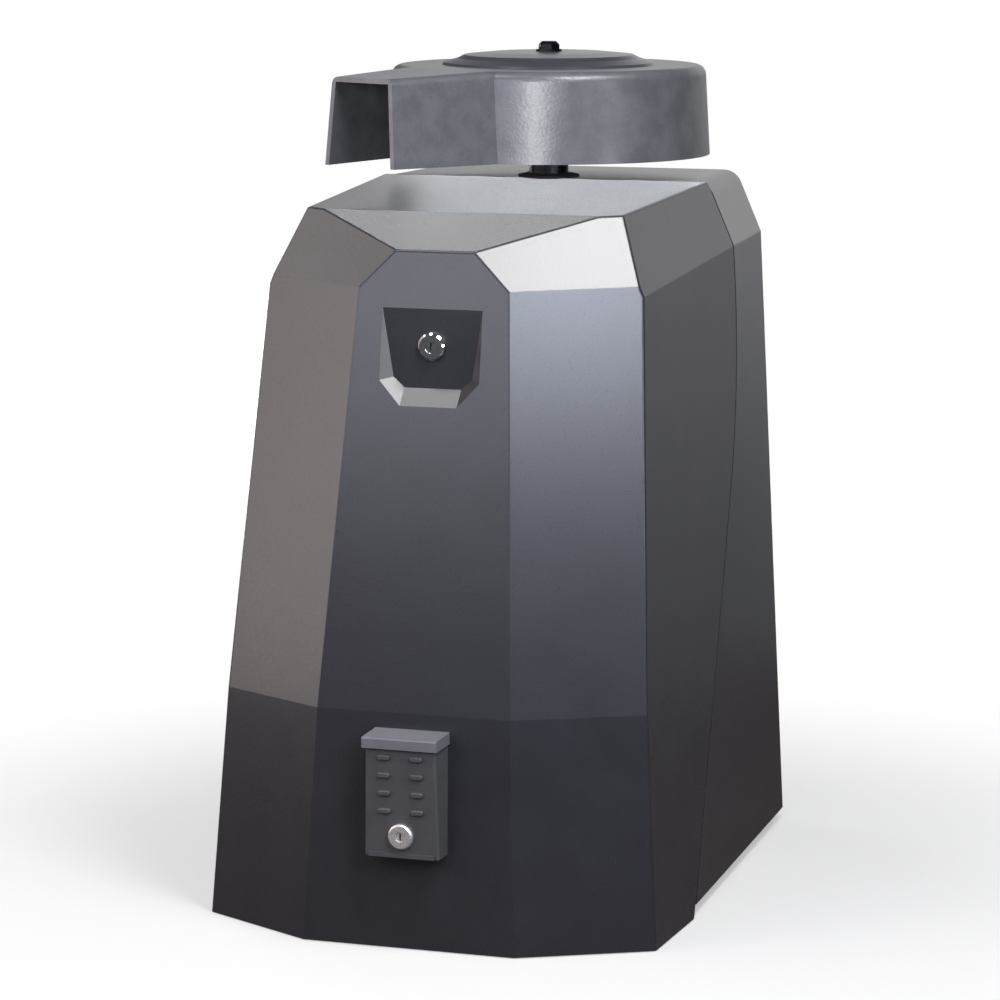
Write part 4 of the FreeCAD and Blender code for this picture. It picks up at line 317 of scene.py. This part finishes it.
finish_of = {
    "cover_plastic": cover_plastic, "hub_paint": hub_enamel, "box_plastic": box_plastic,
    "chrome": polished_chrome, "zinc_steel": zinc_plating, "bright_steel": ground_steel,
    "dark_steel": black_oxide_and_painted_shade, "cast_iron": grey_iron, "frame_paint": powder_coat,
    "motor_paint": motor_enamel, "bronze": gear_bronze, "lamination": varnished_laminations,
    "rubber": belt_rubber, "black_plastic": black_plastic, "ivory_plastic": ivory_plastic,
    "board_green": solder_mask,
}
own_finish = {
    # the hub's disc is drawn darker than the hub's own enamel, as painted shade
    "hub_disc": disc_enamel_with_painted_shade, "key_box_hood": hood_plastic, "reset_switch_body": satin_nickel,
    # the output shaft is near black as painted shade under the hub
    "reset_switch_plug": satin_nickel, "output_shaft": black_oxide_and_painted_shade, "transformer": coil_and_core,
    "control_tray": zinc_spangle, "outlet_box": zinc_spangle, "lock_strike": zinc_spangle,
    "limit_bracket": zinc_spangle,
}

for part in frame["record"]["subparts"]:
    node = frame["nodes"][part["node"]]
    node.data.materials.clear()
    node.data.materials.append(own_finish.get(part["node"], finish_of[part["material_slot"]]))


# Floor, backdrop, light and camera

def direct_view(tree, path):
    """1 for what the camera sees, itself or through glass, and 0 for all other rays."""
    seen = add(tree, "ShaderNodeMath", links={0: (path, "Is Camera Ray"), 1: (path, "Is Transmission Ray")},
               operation="ADD", use_clamp=True)
    return seen, "Value"


def pale_floor():
    """A disc under the part, its corners evenly round a circle. To the camera it is pale paint that takes the
    shadow, and the share of plain white in it grows smoothly with the distance from the middle. All other
    rays meet a darker grey."""
    angle = np.linspace(0, 2 * math.pi, FLOOR_SIDES, endpoint=False)
    ring = np.stack([FLOOR_R * np.cos(angle), FLOOR_R * np.sin(angle), np.full(FLOOR_SIDES, FLOOR_Z)], 1)
    mesh = bpy.data.meshes.new("pale_floor")
    mesh.from_pydata(ring.tolist(), [], [list(range(FLOOR_SIDES))])
    floor = bpy.data.objects.new("pale_floor", mesh)
    bpy.context.scene.collection.objects.link(floor)
    material, tree, place = start_material("pale_floor_paint")
    pale = add(tree, "ShaderNodeBsdfDiffuse", {"Color": linear("#d2d2d2")})
    grey = add(tree, "ShaderNodeBsdfDiffuse", {"Color": linear("#67605f")})
    glow = add(tree, "ShaderNodeEmission", {"Color": linear("#ffffff"), "Strength": 1.0})
    reach = add(tree, "ShaderNodeVectorMath", links={0: place}, operation="LENGTH")
    white = add(tree, "ShaderNodeMapRange",
                {"From Min": FLOOR_FADE[0], "From Max": FLOOR_FADE[1], "To Min": FLOOR_LEAST_WHITE},
                {"Value": (reach, "Value")}, interpolation_type="SMOOTHSTEP")
    shown = add(tree, "ShaderNodeMixShader",
                links={"Fac": (white, "Result"), 1: (pale, "BSDF"), 2: (glow, "Emission")})
    path = add(tree, "ShaderNodeLightPath")
    mixed = add(tree, "ShaderNodeMixShader",
                links={"Fac": direct_view(tree, path), 1: (grey, "BSDF"), 2: (shown, "Shader")})
    add(tree, "ShaderNodeOutputMaterial", links={"Surface": (mixed, "Shader")})
    mesh.materials.append(material)


def studio_world():
    """White to the camera. Reflections see a white backdrop behind the part, the product of its four soft
    edges, in a dark room. Everything else gets a dim even grey."""
    world = bpy.data.worlds.new("studio")
    tree = empty_tree(world)
    place = add(tree, "ShaderNodeTexCoord")
    axes = add(tree, "ShaderNodeSeparateXYZ", links={"Vector": (place, "Generated")})
    path = add(tree, "ShaderNodeLightPath")
    reflected = [(path, "Is Glossy Ray")]
    for axis, dark_at, white_at in BACKDROP_EDGES:
        edge = add(tree, "ShaderNodeMapRange",
                   {"From Min": dark_at, "From Max": white_at, "To Min": BACKDROP_DARK},
                   {"Value": (axes, axis)}, interpolation_type="SMOOTHSTEP")
        reflected.append((edge, "Result"))
    share = add(tree, "ShaderNodeMath", links={0: product(tree, reflected), 1: direct_view(tree, path)},
                operation="ADD", use_clamp=True)
    dim = add(tree, "ShaderNodeBackground", {"Color": linear("#c8ccd4"), "Strength": AMBIENT})
    white = add(tree, "ShaderNodeBackground", {"Color": linear("#ffffff"), "Strength": 1.0})
    mixed = add(tree, "ShaderNodeMixShader",
                links={"Fac": (share, "Value"), 1: (dim, "Background"), 2: (white, "Background")})
    add(tree, "ShaderNodeOutputWorld", links={"Surface": (mixed, "Shader")})
    bpy.context.scene.world = world


def softbox(name, place, target, width, height, colour, radiance, only=()):
    """A rectangular lamp, turned to its target. Its power is pi times its even radiance times its area. A
    snoot may keep it to some nodes, which then are the only ones to cast its shadows. Reflected rays don't
    look for such a lamp, because they would stop at the nodes that it passes by."""
    lamp = bpy.data.lights.new(name, "AREA")
    lamp.shape = "RECTANGLE"
    lamp.size = width
    lamp.size_y = height
    lamp.color = linear(colour)[:3]
    lamp.energy = radiance * math.pi * width * height
    holder = bpy.data.objects.new(name, lamp)
    holder.location = place
    holder.rotation_euler = (Vector(target) - Vector(place)).to_track_quat("-Z", "Y").to_euler()
    bpy.context.scene.collection.objects.link(holder)
    if only:
        lit = bpy.data.collections.new(name + "_lights")
        for node in only:
            lit.objects.link(frame["nodes"][node])
        holder.light_linking.receiver_collection = lit
        holder.light_linking.blocker_collection = lit
        lamp.cycles.use_multiple_importance_sampling = False


def photo_camera():
    """The photograph's camera: it looks along the direction opposite to back, which is turned to the right
    and tilted up, with its right side level, and up square to both."""
    turn, tilt = math.radians(CAMERA_TURN), math.radians(CAMERA_TILT)
    back = Vector((math.sin(turn) * math.cos(tilt), -math.cos(turn) * math.cos(tilt), math.sin(tilt)))
    right = Vector((math.cos(turn), math.sin(turn), 0))
    up = back.cross(right)
    camera = bpy.data.objects.new("photo_camera", bpy.data.cameras.new("photo_camera"))
    camera.data.lens = CAMERA_LENS
    camera.data.sensor_width = SENSOR
    camera.matrix_world = Matrix.Translation(CAMERA_AT) @ Matrix((right, up, back)).transposed().to_4x4()
    bpy.context.scene.collection.objects.link(camera)
    bpy.context.scene.camera = camera


pale_floor()
studio_world()
# High lamps, for the upper right facet and the lock recess
softbox("key_box", (0.66, -0.70, 1.69), (0.12, -0.17, 0.64), 0.5, 0.5, "#ffffff", 26.5)
softbox("right_top_box", (0.87, -0.40, 1.85), (0.0, -0.2, 0.55), 0.4, 0.4, "#ffffff", 14.0)
softbox("ledge_box", (-0.46, -0.52, 1.85), (0.0, -0.23, 0.51), 0.4, 0.4, "#ffffff", 10.5)
# Front lamps, for the panels and bevels
softbox("front_left_box", (-0.55, -1.82, 1.07), (0.0, -0.25, 0.5), 0.6, 0.7, "#f0f0ff", 5.5)
softbox("left_fill", (-1.2, -1.4, 0.98), (-0.1, -0.22, 0.5), 0.8, 0.7, "#fbf3f2", 3.2)
softbox("front_fill", (0.32, -1.95, 1.02), (0.08, -0.22, 0.5), 0.7, 0.6, "#f2f3ff", 4.0)
softbox("right_high_fill", (0.98, -1.13, 1.42), (0.14, -0.2, 0.6), 0.35, 0.35, "#f2f5ff", 12.0)
softbox("front_right_box", (1.13, -1.42, 1.12), (0.14, -0.2, 0.55), 0.5, 0.5, "#e6edff", 25.0,
        only=[node for node in frame["nodes"] if node not in HUB])
# Lamps and cards at the sides, and two from behind for the rear shell
softbox("right_box", (1.35, -0.70, 0.65), (0.0, -0.23, 0.54), 0.3, 0.3, "#ffffff", 11.0)
softbox("left_card", (-1.65, -0.75, 0.78), (-0.15, -0.15, 0.5), 0.8, 1.2, "#fdeeea", 4.0)
softbox("left_top_card", (-1.22, -0.17, 1.35), (-0.13, -0.17, 0.64), 0.6, 0.5, "#fff4ee", 2.9)
softbox("rear_left_box", (-1.6, 1.1, 0.42), (-0.05, 0.2, 0.35), 0.9, 0.5, "#ffffff", 14.0)
softbox("rear_card", (-1.0, 2.0, 0.0), (-0.1, 0.3, 0.3), 2.4, 1.0, "#f6f7ff", 1.3, only=("rear_cover",))
# Snooted lamps, for the hub's upright highlight and the sheen on the front shell's brow and roof
softbox("hub_strip", (0.26, -1.9, 0.90), (0.03, 0.0, 0.77), 0.2, 0.5, "#ffffff", 84.0, only=("arm_hub",))
softbox("brow_box", (-0.50, 0.80, 1.85), (0.02, -0.19, 0.66), 0.6, 0.6, "#ffffff", 3.8, only=("front_cover",))
softbox("roof_sheen", (-0.26, 1.5, 1.05), (0.03, -0.05, 0.68), 0.7, 0.45, "#f4f7ff", 1.8,
        only=("front_cover",))
photo_camera()

bpy.context.scene.view_settings.view_transform = "Standard"
